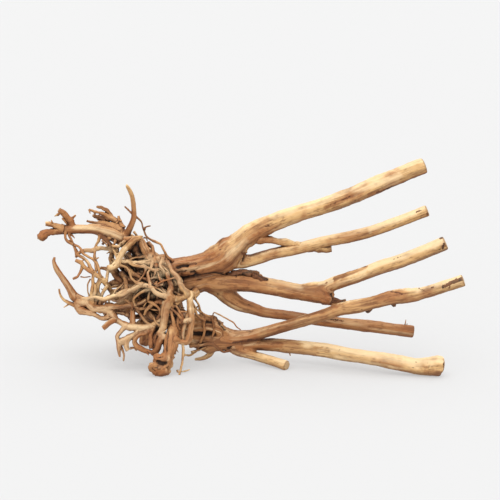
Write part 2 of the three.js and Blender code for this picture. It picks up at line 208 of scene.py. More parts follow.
# The other sawn stems.
STEMS = [
    sawn([-56, 198, -8, 12], [-16, 198, -5, 13.5], [0, 200, -4, 11.8], [50, 214, -5, 11],
        [100, 224.5, -6, 11], [150, 237.5, -8, 10.8], [200, 247.5, -10, 11], [250, 261, -13, 10.8],
        [300, 279, -16, 10.5], [354, 299.5, -20, 11]),
    sawn([108, 137, -21, 11], [126, 138.5, -23, 13.6], [148, 145.5, -24, 12.8], [176, 156.5, -26, 13.2],
        [212, 168, -29, 13.2], [250, 182, -31, 13.3], [300, 198, -34, 13.2], [350, 217.5, -37, 13.7],
        [390, 235, -40, 13.5]),
    sawn([-92, 36, -3, 8], [-72, 39, -3, 11.6], [-42, 43, -6, 12.2], [0, 48, -16, 11.8],
        [50, 62.5, -33, 10.8], [100, 77, -53, 10.9], [150, 92, -74, 11.6], [180, 102.5, -81, 12.5],
        [212, 107.5, -87, 13.1], [250, 116.5, -94, 12.2], [285, 126, -101, 13.2], [305, 128.5, -104, 13.8],
        [330, 131, -108, 12.4], [350, 136, -111, 11.1], [400, 151.5, -118, 11.2], [426, 160, -121, 11]),
    sawn([-92, 158, 1, 12], [-66, 147, 3, 17], [-44, 128.5, 8, 16.8], [-22, 113.5, 10, 14],
        [0, 105.5, 10, 12], [30, 95.5, 8, 9.7], [70, 90.5, 5, 9.5], [120, 82.5, 3, 9.9], [180, 74.5, 0, 10.6],
        [250, 67, 0, 11.8], [300, 60.5, 0, 11.6], [326, 57.5, 0, 11.8]),
    sawn([-176, 140, 4, 15], [-166, 112, 7, 17], [-154, 88, 8, 15], [-134, 66, 5, 14], [-104, 53, 0, 15],
        [-70, 44, -3, 14], [-30, 34, -4, 12], [10, 32, -8, 11.6], [50, 31, -14, 13], [100, 26, -27, 13],
        [150, 20.5, -46, 13.4], [200, 11.5, -66, 13.3], [250, 4.5, -84, 13.4], [300, -4.5, -99, 15],
        [330, -11, -106, 15.2], [350, -12, -109, 16.4], [362, -11.5, -110, 17.4], [372, -11, -111, 18.4],
        [379, -11, -112, 18.6], [386, -12, -112, 16], rim=0.6),
    sawn([-46, 28, -6, 6], [-26, 20, -8, 10.5], [0, 12, -17, 9.2], [39, 0.5, -46, 9.1],
        [73, -10.5, -70, 9.9]),
]

# Twigs, stubs and knots on the stems.
TWIGS = [
    root([-14, -16, -12], [-80, 213, 5], [-64, 225, 8.6], [-52, 235, 9.4], [-36, 236, 7]),
    root([-13, -11], [-46, 170, 3.2], [-22, 175, 5.2], [2, 175, 5], [19, 174.5, 3.2]),
    root([-18, -20], [4, 169, 3.6], [20, 165, 4], [36, 162, 3]),
    root([-8, -5], [-10, 237, 7], [8, 242, 7.2], [30, 241.5, 7.2], [55, 237, 6.6], [82, 232.5, 6],
        [105, 227, 6]),
    root([-6, -8], [104, 223.5, 6], [134, 222.5, 6.4], [163, 222, 6.6], ending=Ending.SAWN),
    root([-18, -14], [138, 128, 8], [166, 118, 6.4], [190, 117.5, 6]),
    root([-100, -104], [296, 132, 6], [285, 118, 5], [288, 108, 2.5]),
    root([-90, -92], [244, 112, 6], [236, 101, 5], [232, 96, 2]),
    root([-10, -14], [-20, 30, 8], [-32, 25, 6], [-39, 22, 3]),
]

# Short, thick limbs of the root crown, up to the arm and down behind the roots.
CROWN = [
    limb([-172, 172, 0, 25], [-206, 203, 0, 19], [-228, 225, -3, 15], [-250, 241, -8, 12]),
    limb([-165, 150, 0, 24], [-180, 122, 5, 21], [-192, 102, 5, 15], [-204, 86, 0, 8]),
]

# The low crown that carries the two lower stems, with its own small foot.
LOW_CROWN = [
    limb([-126, 84, 2, 4], [-112, 86, -2, 6.4], [-96, 84, -4, 8.4], [-80, 80, -4, 9], [-64, 70, -4, 8]),
    limb([-140, 80, 4, 4], [-122, 72, -4, 7], [-98, 74, -5, 9], [-73, 73, -5, 10], [-54, 60, -6, 9],
        [-34, 51, -7, 9], [-8, 50, -12, 8]),
    limb([-142, 66, 2, 4], [-120, 62, -9, 6.4], [-92, 62, -13, 7], [-62, 55, -10, 9]),
    limb([-144, 50, 6, 4], [-124, 42, -3, 8], [-102, 34, -6, 11], [-80, 30, -6, 12], [-52, 33, -6, 12],
        [-20, 33, -7, 12]),
    limb([-82, 27, -4, 11], [-79, 16, -3, 7], [-86, 8, -2, 5], [-98, 3.5, 0, 3.6], [-111, 1.5, 2, 2.4]),
]

# Wood inside the crown and behind it, which only shows between the roots.
ROOTSTOCK = [
    limb([-104, 74, -2, 8], [-130, 80, 6, 9.5], [-150, 92, 10, 11], [-168, 112, 8, 12]),
    limb([-100, 38, -2, 10], [-128, 44, 6, 9], [-150, 60, 12, 9], [-170, 86, 14, 10]),
    limb([-118, 62, 6, 8], [-142, 66, 14, 9], [-164, 78, 16, 9]),
    limb([-178, 120, 10, 14], [-196, 96, 16, 12], [-210, 80, 18, 9.5], [-232, 64, 10, 7]),
    limb([-190, 132, 8, 12], [-220, 116, 8, 11], [-246, 104, 0, 9.5], [-272, 98, -12, 7], [-292, 92, -24, 4]),
    limb([-196, 168, 4, 14], [-224, 167, 6, 11], [-240, 163, 2, 5]),
    limb([-206, 210, 2, 13], [-228, 204, 4, 10], [-246, 196, 2, 8.6], [-262, 184, -2, 5]),
    limb([-180, 62, -30, 8.4], [-196, 68, -16, 8.6], [-220, 74, -10, 7]),
    limb([-220, 208, -14, 6], [-204, 198, -24, 9.6], [-186, 186, -28, 10.4], [-168, 172, -26, 10],
        [-150, 156, -18, 11]),
    limb([-246, 190, -12, 6], [-226, 180, -22, 8.6], [-206, 172, -24, 9], [-184, 164, -18, 11]),
]

# The long arm to the left, with the stub on its end and the branch that stands on it.
ARM = [
    sawn([-240, 232, -6, 13], [-262, 245, -10, 13], [-280, 253, -10, 12], [-300, 259, -10, 10.5],
        [-320, 262, -10, 8.5], [-342, 262, -10, 8.6], [-370, 262, -10, 9], [-386, 260, -10, 8],
        [-398, 256.5, -11, 5.6], [-408, 254, -12, 6], [-416, 249, -13, 8.6], [-420, 242, -14, 5.5]),
    root([-10, -12], [-372, 264, 6], [-388, 268, 5], [-398, 270.5, 4.2], [-409, 272, 3.2]),
    root([-10, -15], [-356, 261, 6], [-359, 273, 6.2], [-364, 283, 6], [-372, 294, 4.8], [-381, 300, 4]),
]

# Roots that stand up above the crown.
HORNS = [
    root([-8, -22, -30, -45], [-246, 236, 9], [-246, 253, 6.5], [-242, 263, 5.8], [-237, 274, 5.2],
        [-233, 286, 4.8], [-233, 300, 4.3], [-234, 315, 4], [-237, 330, 3.8], [-244, 345, 3],
        [-249, 352, 1.5]),
    root([-32, -18, -20, -32, -16], [-252, 308, 1.5], [-238, 295, 2], [-218, 276, 2.5], [-213, 262, 2.6],
        [-207, 248, 2.7], [-196, 239, 2.8], [-180, 232, 2.5], [-172, 219, 2.3], [-166, 208, 2.7],
        [-155, 198, 3.4]),
    root([6, 12], [-307, 308, 2.6], [-296, 304, 2.9], [-285, 298, 3.6], [-280, 288, 4], [-275, 281, 5]),
    root([0, 10], [-323, 301, 2.2], [-306, 296.5, 2.9], [-294, 292, 3.6], [-281, 283, 5.6]),
    root([13, 12], [-314, 289, 3], [-306, 286, 4.6], [-296, 283, 5], [-284, 281, 5]),
    root([10, 5, -6], [-290, 284, 5], [-276, 283, 5.6], [-266, 275, 5.2], [-257, 260, 6.5], [-248, 244, 9]),
    root([4, 0, -6], [-304, 277, 3], [-290, 274, 4.6], [-270, 265, 6.4], [-256, 248, 8]),
    root([2, -4], [-326, 279, 2.4], [-314, 275, 3.4], [-298, 270, 4], [-284, 262, 5]),
]

# Thin roots under the arm, which drop to the roots below.
HANGING = [
    root([-14, -22, -22], [-366, 268, 2.6], [-370, 256, 2.1], [-369, 243, 2.1], [-362, 237, 2.1],
        [-353, 232, 2.3]),
    root([-12, -20, -28], [-361, 258, 3.2], [-363, 251, 2.5], [-357, 240, 2.3], [-351, 226, 2.3],
        [-346, 212, 3.5], [-348, 206, 2.2]),
    root([-22, -50], [-353, 231, 2.3], [-343, 227, 2.1], [-334, 214, 2.1], [-320, 206, 2.1], [-309, 198, 2.1],
        [-303, 183, 2.1], [-299, 165, 2.3]),
    root([-28, -50], [-346, 213, 2.7], [-333, 202, 2.6], [-324, 195, 2.7], [-317, 177, 3.2]),
    root([-28, -26, -12], [-346, 213, 2.6], [-336, 218, 3], [-320, 221, 3.8], [-302, 225, 4.2],
        [-284, 222, 4.4], [-268, 216, 4.2], [-244, 206, 5]),
    root([-14, -32, -51], [-297, 256, 4.6], [-302, 242, 3.2], [-308, 229, 2.5], [-310, 216, 2.8],
        [-310, 200, 2.6], [-309, 186, 2.4], [-310, 170, 2.8]),
    root([-46, -52, -48, -14], [-350, 201, 3.2], [-339, 195, 4], [-329, 185, 4], [-316, 175, 4.6],
        [-298, 162, 5], [-288, 154, 4.6], [-280, 141, 4.2], [-268, 124, 5]),
    root([-48, -56], [-333, 190, 3.2], [-339, 180, 2.6], [-345, 168, 2.5], [-355, 163, 2.2]),
    root([-6, -5, 0], [-277, 222, 4.4], [-277, 204, 6], [-274, 186, 5], [-260, 169, 4.4]),
]

# The horned root at the far left and the mass it grows from.
LEFT = [
    root([-34, -42, -46], [-334, 117, 10], [-351, 127, 9], [-359, 140, 6.6], [-368, 154, 5.8], [-379, 170, 5],
        [-388, 184, 4.4], [-393, 200, 2.6], [-390, 208, 1.5]),
    root([-38, -48], [-338, 108, 5.6], [-352, 111, 3.8], [-367, 118, 2.6], [-379, 128, 2.1],
        [-381, 144, 1.4]),
    root([-38, -57, -56], [-346, 116, 7], [-338, 101, 7], [-322, 95.5, 5.6], [-309, 90, 4], [-296, 84.5, 3.4],
        [-280, 88, 5.5]),
    root([-42, -56, -46], [-342, 118, 7], [-325, 116, 7], [-310, 104, 7.4], [-294, 103, 7], [-280, 98, 7.6],
        [-264, 98, 6]),
    root([-50, -64, -65, -50], [-284, 106, 8], [-260, 107, 5.4], [-236, 109, 5], [-220, 114, 4.8],
        [-204, 124, 5], [-188, 134, 6]),
    root([-50, -52, -50], [-316, 116, 4.5], [-316, 136, 3.6], [-315, 155, 3.1], [-315, 175, 3.2]),
    root([-46, -45, -50], [-310, 112, 6.5], [-308, 130, 4.9], [-307, 146, 4.8], [-299, 161, 5]),
    root([-48, -52, -50], [-285, 149, 3.2], [-292, 140, 2.7], [-297, 127, 2.7], [-300, 112, 3.5]),
    root([-38, -52, -67], [-249, 163, 4.5], [-248, 148, 4.1], [-246, 133, 4.6]),
]

# Roots that cross the front of the crown.
FRONT = [
    root([-42, -58, -68, -76, -79, -75], [-347, 129, 3.2], [-330, 124, 3.4], [-312, 127, 3.2],
        [-290, 123, 3.4], [-276, 128, 4], [-255, 131, 3.4], [-236, 142, 4], [-215, 150, 3.8],
        [-200, 146, 3.6], [-184, 133, 4], [-172, 129, 4.4], [-158, 124, 6.4]),
    root([-60, -70, -60], [-278, 124, 2.6], [-262, 134, 3], [-248, 140, 3.6], [-230, 139, 4]),
    root([-62, -76, -66], [-226, 132, 2.6], [-206, 141, 2.4], [-190, 148, 2.2], [-176, 152, 2.8]),
    root([-36, -42, -50, -56], [-219, 246, 3.4], [-226, 244, 5], [-236, 237, 5.6], [-246, 229, 6.4],
        [-253, 218, 6.4], [-260, 206, 6.4], [-268, 192, 6.6], [-274, 185, 6.6], [-286, 184, 4]),
    root([-20, -30, -26], [-214, 248, 2.4], [-226, 248, 3.4], [-238, 245, 4], [-250, 240, 6]),
    root([-12, -32, -30, -20], [-226, 246, 5], [-216, 237, 7.6], [-210, 224, 8], [-204, 212, 8],
        [-192, 200, 7], [-176, 190, 6]),
    root([-10, -32, -22], [-203, 234, 5], [-196, 224, 4.2], [-193, 209, 4.2], [-187, 196, 5.5]),
    root([-12, -36, -38, -26], [-258, 174, 5.5], [-244, 164, 4.6], [-226, 159, 4.3], [-205, 159, 6]),
    root([-24, -46, -44, -28], [-247, 202, 4.2], [-243, 186, 4.5], [-237, 175, 4.4], [-222, 171, 4.1],
        [-202, 170, 4.4], [-184, 168, 6]),
    root([-46, -42, -38, -22], [-264, 199, 4.2], [-246, 198, 4.1], [-228, 194, 4.1], [-208, 195, 5],
        [-188, 192, 6.5]),
    root([-22, -40, -32], [-213, 190, 5.5], [-198, 181, 4.6], [-184, 173, 4.6], [-170, 169, 6]),
    root([-6, -48, -18], [-216, 166, 8], [-200, 158, 7.5], [-188, 153, 7.5], [-174, 147, 8]),
    root([-30, -50, -50, -22], [-192, 168, 5.5], [-180, 155, 4.7], [-170, 150, 4.7], [-158, 153, 5.2],
        [-144, 158, 7]),
    root([-20, -52, -62, -62, -24], [-176, 205, 4.4], [-165, 193, 4.2], [-155, 179, 4.5], [-147, 166, 5.1],
        [-141, 153, 5.3], [-134, 141, 6.4], [-127, 133, 8], [-117, 130, 6.4], [-106, 136, 8]),
    root([-24, -56, -73], [-174, 196, 5], [-167, 180, 4.2], [-162, 165, 4.2], [-158, 148, 5],
        [-160, 128, 6.5]),
    root([-59, -65, -74], [-125, 134, 7], [-136, 126, 7], [-149, 123, 7.3], [-163, 123, 7.8]),
    root([-61, -67, -75], [-133, 127, 5.4], [-143, 117, 4.6], [-156, 107, 4.3], [-168, 94, 5.6]),
    root([-74, -78, -83, -86, -83], [-158, 127, 7.5], [-167, 114, 7.7], [-170, 98, 7.7], [-171, 83, 7.5],
        [-174, 66, 6.4], [-178, 51, 5.8], [-182, 35, 5.6], [-188, 22, 5.5], [-197, 11.5, 5]),
    root([-59, -73, -83, -90, -95], [-120, 133, 6.4], [-121, 118, 6.3], [-119, 97, 6.1], [-118, 80, 5.6],
        [-119, 62, 5.1], [-120, 46, 5], [-127, 36, 4.8], [-140, 36, 4.4], [-155, 41, 6.5]),
    root([-68, -80, -91, -108], [-121, 111, 4.6], [-126, 92, 3.2], [-129, 74, 2.9], [-135, 57, 2.7],
        [-135, 36, 2.5], [-134, 12, 2.3], [-138, -14, 2.3], [-142, -29, 2.1]),
]

# More roots between those, where the crown is thick with them.
BETWEEN = [
    root([-8, -26, -20], [-232, 232, 5], [-228, 214, 4.6], [-221, 198, 5], [-212, 186, 4]),
    root([-20, -34, -24], [-246, 214, 4], [-236, 200, 4.4], [-222, 184, 4], [-204, 176, 5]),
    root([-20, -30, -26], [-198, 216, 5], [-186, 204, 4], [-176, 192, 4.4], [-168, 180, 5]),
    root([-22, -42, -36], [-238, 196, 3.6], [-222, 180, 3.4], [-206, 166, 3.4], [-192, 160, 4.4]),
    root([-22, -36, -30], [-214, 204, 3], [-196, 192, 3.4], [-180, 182, 3.2], [-166, 168, 4]),
    root([-30, -52, -44], [-196, 184, 4], [-184, 166, 3.6], [-172, 154, 3.6], [-160, 144, 4.4]),
    root([-16, -26, -24], [-300, 186, 3], [-288, 184, 3.4], [-277, 177, 3.6], [-268, 166, 3.8],
        [-256, 159, 4.2]),
    root([-40, -46, -48], [-283, 185, 3], [-284, 172, 3.2], [-288, 158, 3.4]),
    root([-16, -20, -12], [-300, 250, 4.4], [-288, 240, 4], [-278, 230, 4.6], [-266, 222, 5]),
    root([-12, -18, -10], [-296, 232, 2.6], [-284, 244, 3], [-270, 252, 4]),
    root([-40, -56, -40], [-262, 97, 4.6], [-250, 92, 4.6], [-236, 87, 4.6], [-222, 88, 5]),
    root([-60, -72, -78], [-184, 62, 5.4], [-192, 46, 5], [-191, 30, 4.6], [-186, 16, 4]),
    root([-40, -54, -50], [-222, 128, 3.4], [-210, 112, 3.6], [-196, 104, 3.6], [-182, 104, 4.4]),
    root([-60, -66, -60], [-146, 116, 3], [-150, 100, 2.6], [-146, 84, 2.6], [-150, 66, 3]),
    root([-50, -58, -40], [-118, 112, 3.4], [-110, 98, 2.8], [-104, 88, 3], [-92, 80, 3.4]),
    root([-30, -30, -24], [-112, 100, 2.2], [-104, 108, 1.8], [-100, 96, 2], [-96, 86, 2.6]),
    root([-30, -44, -50], [-300, 164, 3], [-306, 150, 3], [-302, 134, 3.2], [-292, 118, 4]),
    root([-46, -54, -54], [-316, 160, 2.4], [-310, 144, 2.2], [-312, 128, 2.6]),
    root([-40, -52, -34], [-248, 198, 3], [-230, 190, 2.6], [-208, 186, 2.6], [-190, 180, 3],
        [-176, 184, 3.4]),
    root([-44, -58, -40], [-242, 176, 3], [-226, 168, 2.6], [-206, 160, 2.8], [-188, 164, 2.6],
        [-172, 160, 3]),
    root([-50, -60, -50], [-224, 158, 2.6], [-206, 152, 2.4], [-192, 156, 2.4], [-176, 142, 3]),
    root([-30, -46, -36], [-174, 204, 3], [-178, 190, 2.6], [-172, 176, 2.6], [-176, 162, 3]),
    root([-66, -76, -72], [-204, 118, 2.8], [-190, 112, 2.4], [-180, 98, 2.4], [-186, 84, 3]),
    root([-70, -82, -80], [-150, 112, 2.6], [-142, 96, 2.2], [-146, 78, 2.2], [-140, 62, 2.6]),
    root([-62, -72, -66], [-250, 122, 2.6], [-236, 112, 2.2], [-222, 102, 2.4], [-206, 106, 3]),
]

# The club-footed root at the front, which carries the crown.
CLUB_FOOT = [
    limb([-160, 112, -2, 15], [-151, 99, -34, 11.5], [-149, 84, -63, 9.8], [-154, 66, -78, 9.6],
        [-158, 48, -89, 11.4], [-160, 32, -96, 11.8], [-162, 18, -103, 10.6], [-165, 4, -107, 10.6],
        [-168, -8, -110, 12], [-172, -19, -112, 11.2]),
    limb([-168, 4, -108, 8.6], [-180, 1, -114, 8.8], [-186, 4, -112, 8], [-189, 10, -108, 4.6]),
    limb([-170, -14, -110, 9.6], [-184, -14, -112, 11.8], [-194, -14, -114, 9], [-202, -17, -116, 4.4]),
    limb([-169, -19, -112, 10.6], [-181, -21, -114, 10.5], [-190, -23, -115, 6.5]),
    limb([-152, 62, -80, 7], [-150, 46, -88, 6.4], [-152, 30, -96, 5.6], [-156, 14, -103, 6]),
]

# Roots low on the left.
LOW_LEFT = [
    root([-26, -57, -69], [-228, 106, 9], [-210, 98, 8.2], [-194, 89, 8], [-182, 82, 6.6], [-172, 78, 7.2]),
    root([-67, -70, -70, -64, -54], [-176, 81, 6.5], [-197, 70, 5.3], [-215, 66, 5.6], [-236, 67, 6.2],
        [-254, 73, 6], [-268, 81, 6.4], [-280, 94, 8]),
    root([-57, -69], [-236, 112, 4.5], [-236, 90, 4.6], [-237, 68, 5]),
    root([-65, -69], [-270, 83, 5.4], [-284, 73, 4.6], [-295, 64, 4.2]),
    root([-70, -74, -78], [-248, 70, 5.5], [-259, 59, 3.8], [-265, 47, 3.3], [-262, 33, 4.5], [-263, 20, 3.2],
        [-261, 5, 1.5]),
    root([-74, -78], [-262, 33, 3], [-256, 22, 2], [-253, 10, 1.9], [-254, 0, 1.7]),
    root([-70, -76], [-206, 66, 5], [-226, 56, 4.6], [-240, 46, 6], [-259, 36, 6]),
    root([-75, -78], [-247, 41, 5.6], [-246, 30, 5.2], [-243, 20, 4]),
    root([-70, -78, -78], [-195, 63, 4.6], [-212, 54, 4.6], [-227, 48, 4.8], [-230, 36, 5.2], [-222, 26, 5.2],
        [-209, 20, 4.2], [-197, 17, 3]),
    root([-68, -79], [-181, 83, 5], [-192, 67, 3.8], [-199, 47, 4.5], [-199, 32, 4.9], [-196, 23, 3.8]),
]

# Two roots at the back that reach the surface and hold the crown up.
BACK_FEET = [
    limb([-188, 150, 10, 18], [-193, 129, 42, 13], [-199, 107, 68, 10.6], [-205, 82, 91, 9.6],
        [-209, 57, 108, 9.8], [-211, 39, 118, 11.6], [-213, 39, 128, 8.6]),
    limb([-150, 110, 10, 15], [-138, 92, 36, 10], [-122, 72, 58, 7.6], [-104, 46, 76, 6.6],
        [-92, 25, 88, 6.4]),
]

# Thin roots between the others.
THIN = [
    root([-26, -20, -12], [-122, 28, 2.5], [-100, 30, 2.6], [-80, 33, 2.6], [-66, 27, 2.6], [-54, 17, 2.6],
        [-36, 22, 3]),
    root([-8, -23, -19, -20], [-92, 88, 2.6], [-93, 73, 2.1], [-93, 52, 2.1], [-101, 33, 2.1],
        [-108, 19, 1.9], [-120, 10, 1.7], [-132, 12, 1.3]),
    root([-19, -24], [-213, 262, 2.3], [-209, 267, 2], [-201, 269, 1.6]),
    root([8, 0], [-264, 289, 1.5], [-262, 278, 2.8], [-256, 264, 5]),
    root([-15, -17], [-377, 297, 3.4], [-386, 291, 2]),
    root([-12, -28, -48], [-264, 252, 3.4], [-269, 240, 2.7], [-273, 229, 2.6], [-271, 215, 2.6],
        [-265, 202, 3]),
    root([-40, -32], [-276, 228, 2.6], [-264, 229, 3], [-250, 238, 3.4]),
    root([-57, -59, -38], [-284, 116, 2.6], [-277, 129, 1.9], [-263, 144, 1.9], [-247, 162, 2.6]),
    root([-18, -22, -4], [-289, 149, 3.5], [-272, 156, 4.4], [-250, 159, 5.5], [-228, 162, 8]),
    root([-26, -35, -28], [-176, 199, 6], [-176, 184, 5.2], [-178, 168, 6.5]),
    root([-85, -93], [-181, 53, 4.6], [-167, 46.5, 4.1], [-152, 38, 5.5]),
    root([-86, -83], [-178, 46, 4], [-172, 34, 3.1], [-170, 24, 2.8], [-175, 10, 2.1]),
    root([-74, -78, -85], [-168, 79, 6], [-150, 78, 4.2], [-136, 79, 3.8], [-119, 80, 4.6]),
    root([-68, -78, -59], [-188, 142, 3.2], [-206, 142, 2.3], [-222, 135, 2.2], [-233, 122, 2.1],
        [-230, 106, 2.2], [-222, 97, 3]),
    root([-65, -78], [-166, 122, 4.6], [-186, 117, 3.2], [-202, 105, 3.1], [-214, 89, 1.9]),
]

# Root hairs, spurs and thorns.
HAIRS = [
    root([-12, -13], [-359, 284, 2.4], [-350, 290, 1.6]),
    root([-14, -18], [-366, 272, 1.8], [-372, 280, 1.6], [-376, 284, 1.2]),
    root([-34, -38], [-297, 240, 1.5], [-290, 235, 1.2], [-286, 228, 1]),
    root([-48, -50], [-339, 167, 1.5], [-332, 166, 1.2], [-325, 167, 1.2], [-320, 168, 1.4]),
    root([-50, -56, -50], [-320, 164, 1.5], [-325, 153, 1.2], [-325, 142, 1.2], [-322, 130, 1.5]),
    root([-57, -50], [-268, 130, 1.9], [-260, 139, 1.5], [-253, 146, 1.5]),
    root([-20, -22], [-213, 246, 1.8], [-208, 245, 1.3], [-206, 239, 1]),
    root([-24, -26], [-234, 259, 2.2], [-229, 253, 2], [-227, 249, 1.6]),
    root([-86, -89], [-145, -19, 1.9], [-144, -24, 1.6], [-143, -30, 1.3]),
    root([-85, -86], [-137, -24, 1.5], [-128, -21, 1.2], [-121, -18, 1]),
    root([-76, -79], [-168, 88, 2.4], [-160, 90, 1.9], [-150, 93, 1.8], [-141, 97, 1.6], [-128, 97, 2]),
    root([-58, -40, -24], [-113, 124, 2.2], [-109, 121, 1.6], [-102, 110, 1.5], [-100, 100, 1.5],
        [-95, 94, 1.5], [-81, 88, 1.8]),
    root([-59, -44], [-116, 116, 1.8], [-112, 110, 1.4], [-107, 103, 1.3], [-99, 96, 1.2]),
    root([-24, -20, -16], [-118, 17, 1.6], [-105, 20, 1.8], [-95, 24, 1.8], [-88, 28, 2.2]),
    root([-10, -18, -14], [-75, 84, 1.8], [-74, 93, 1.3], [-72, 95, 1.2], [-63, 92, 1.2], [-53, 87, 1.2],
        [-44, 82, 1.2], [-34, 76, 1.2], [-27, 67, 1.1], [-19, 62, 0.8]),
    root([-16, -20], [-77, 90, 2], [-74, 74, 1.8], [-73, 59, 1.7], [-76, 47, 1.9]),
    root([-72, -73], [-218, 34, 1.7], [-212, 39, 1.4], [-205, 42, 1.3]),
    root([-73, -73], [-240, 24, 2.4], [-232, 24, 1.6], [-228, 20, 1.2]),
    root([0, 0], [308, 68, 1.2], [310, 74, 0.8], [311, 81, 0.5]),
    root([0, 1], [313, 68, 1], [314, 74, 0.5]),
    root([-20, -21], [78, 22, 1.4], [79, 14, 1], [80, 9, 0.6]),
]


def draws(seed: int) -> Iterator[float]:
    """Gives seeded numbers between 0 and 1, the same on every run and the same as the CAD part's.

    Args:
        seed: Where the row of numbers starts.

    Yields:
        The next number.
    """
    state = seed
    while True:
        state = (state * 1664525 + 1013904223) % 2**32
        yield state / 2**32


@dataclass(frozen=True)
class BackRoots:
    """The rule for the roots that only the back shows.

    They leave the crown in a fan, bend outwards on their way to the back, thin out, and carry a rootlet each.
    """

    seed: int = 2948
    count: int = 9
    stagger: float = 0.7
    start: Place = (-196, 160, 4)
    start_fan: tuple[float, float] = (26, 22)
    start_radius: float = 11
    end: tuple[float, float] = (-226, 142)
    end_fan: tuple[float, float] = (86, 84)
    least_fan: float = 0.5
    end_radius: float = 2.6
    nearest: float = 74
    farthest: float = 138
    share: float = 0.5
    swell: float = 1.28
    radius: float = 7.2
    bend: float = 10
    rootlet_radius: float = 3
    rootlet_tip: float = 1.8
    rootlet_reach: float = 44
    rootlet_bow: float = 0.6
    rootlet_backward: float = 0.5

    def grow(self) -> list[Limb]:
        """Grows the roots and their rootlets, one after the other."""
        draw = draws(self.seed)
        limbs = []
        for number in range(self.count):
            turn = 2 * math.pi * (number + self.stagger * next(draw)) / self.count
            start = [*self._fan(self.start, self.start_fan, turn, 1), self.start[2]]
            far = self.nearest + (self.farthest - self.nearest) * next(draw)
            spread = self.least_fan + (1 - self.least_fan) * next(draw)
            end = [*self._fan(self.end, self.end_fan, turn, spread), far]
            half, full = self.share / 2, self.share
            points = [
                [*start, self.start_radius],
                [*self._bent(start, end, half, self.swell, draw), (self.start_radius + self.radius) / 2],
                [*self._bent(start, end, full, self.swell, draw), self.radius],
                [*self._bent(start, end, (1 + full) / 2, 1, draw), (self.end_radius + self.radius) / 2],
                [*end, self.end_radius],
            ]
            limbs += [limb(*points), self._rootlet(points[2][:3], draw)]
        return limbs

    @staticmethod
    def _fan(centre: tuple[float, ...], size: tuple[float, float], turn: float, share: float) -> list[float]:
        """Gives a place on the fan's oval, as across and up."""
        wide, tall = size
        return [centre[0] + share * wide * math.cos(turn), centre[1] + share * tall * math.sin(turn)]

    def _bent(
        self, start: list[float], end: list[float], share: float, swell: float, draw: Iterator[float]
    ) -> list[float]:
        """Gives a place part of the way along a root, with its bend.

        Args:
            start: Where the root leaves the crown, as across, up and back.
            end: Where its tip is.
            share: How far along the place is, from 0 to 1.
            swell: How much further out than the straight line it lies.
            draw: The seeded numbers.

        Returns:
            The place, as across, up and back.
        """
        bent = []
        for axis, (low, high) in enumerate(zip(start, end)):
            straight = low + (high - low) * share
            value = straight if axis == 2 else low + (straight - low) * swell
            bent.append(value + (2 * next(draw) - 1) * self.bend)
        return bent

    def _rootlet(self, fork: list[float], draw: Iterator[float]) -> Limb:
        """Grows the rootlet that leaves a root at its fork."""
        reach = [(2 * next(draw) - 1) * self.rootlet_reach for _ in fork]
        bow = [
            value + self.rootlet_bow * way + (2 * next(draw) - 1) * self.bend
            for value, way in zip(fork, reach)
        ]
        tip = [value + way for value, way in zip(fork, reach)]
        tip[2] += self.rootlet_backward * self.rootlet_reach
        return limb([*fork, self.rootlet_radius], [*bow, self.rootlet_radius], [*tip, self.rootlet_tip])


@dataclass(frozen=True)
class Tangle:
    """The rule for the fine roots that fill the crown between the larger ones.

    Each leaves one root and bends over to another that is near.
    """

    seed: int = 77
    count: int = 150
    tries: int = 12000
    nearest: float = 22
    farthest: float = 74
    bow: float = 0.1
    thinnest: float = 1.3
    thickest: float = 3.4
    bends: tuple[float, float] = (0.33, 0.67)  # where each bends, as a share of its length
    widths: tuple[float, ...] = (1.5, 1.0, 0.9, 1.1)  # how wide it is at its ends and bends
    dense: tuple[Place, ...] = (
        (-226, 214, 22), (-192, 190, 30), (-164, 160, 30), (-226, 168, 28), (-204, 124, 38), (-160, 112, 34),
        (-244, 106, 22), (-150, 82, 26), (-212, 82, 20), (-184, 64, 18), (-132, 58, 20), (-272, 106, 14),
        (-196, 24, 12), (-276, 196, 9), (-270, 232, 16), (-308, 106, 14), (-232, 186, 22), (-120, 92, 12),
    )  # where the front view shows wood behind wood: across, up and radius
    clear: tuple[Place, ...] = (
        (-218, 130, 15), (-271, 144, 13), (-274, 170, 11), (-288, 116, 9), (-247, 174, 6), (-254, 82, 8),
        (-228, 228, 14), (-296, 205, 14), (-248, 40, 8), (-214, 84, 8), (-224, 30, 9),
    )  # where it shows the gaps between the roots

    def grow(self, hosts: list[Limb]) -> list[Limb]:
        """Grows the roots.

        Args:
            hosts: The limbs that they run between.

        Returns:
            The new roots.
        """
        draw = draws(self.seed)
        spots = [(number, place) for number, host in enumerate(hosts) for place in host.places]
        limbs: list[Limb] = []
        for _ in range(self.tries):
            first, start = spots[int(next(draw) * len(spots))]
            second, end = spots[int(next(draw) * len(spots))]
            radius = self.thinnest + (self.thickest - self.thinnest) * next(draw) ** 2
            apart = math.dist(start, end)
            bent = [
                tuple(
                    low + (high - low) * share + (2 * next(draw) - 1) * self.bow * apart
                    for low, high in zip(start, end)
                )
                for share in self.bends
            ]
            if first != second and self.nearest < apart < self.farthest and self._hidden([start, *bent, end]):
                radii = tuple(radius * width for width in self.widths)
                limbs.append(Limb((start, *bent, end), radii))
            if len(limbs) == self.count:
                break
        return limbs

    def _hidden(self, places: list[Place]) -> bool:
        """Tells whether all of the places appear where the crown is dense, and in none of its gaps."""
        for across, up in zip(*VIEW.appear(np.array(places))):
            within = [
                any(math.hypot(across - x, up - y) < size for x, y, size in spots)
                for spots in (self.dense, self.clear)
            ]
            if within != [True, False]:
                return False
        return True


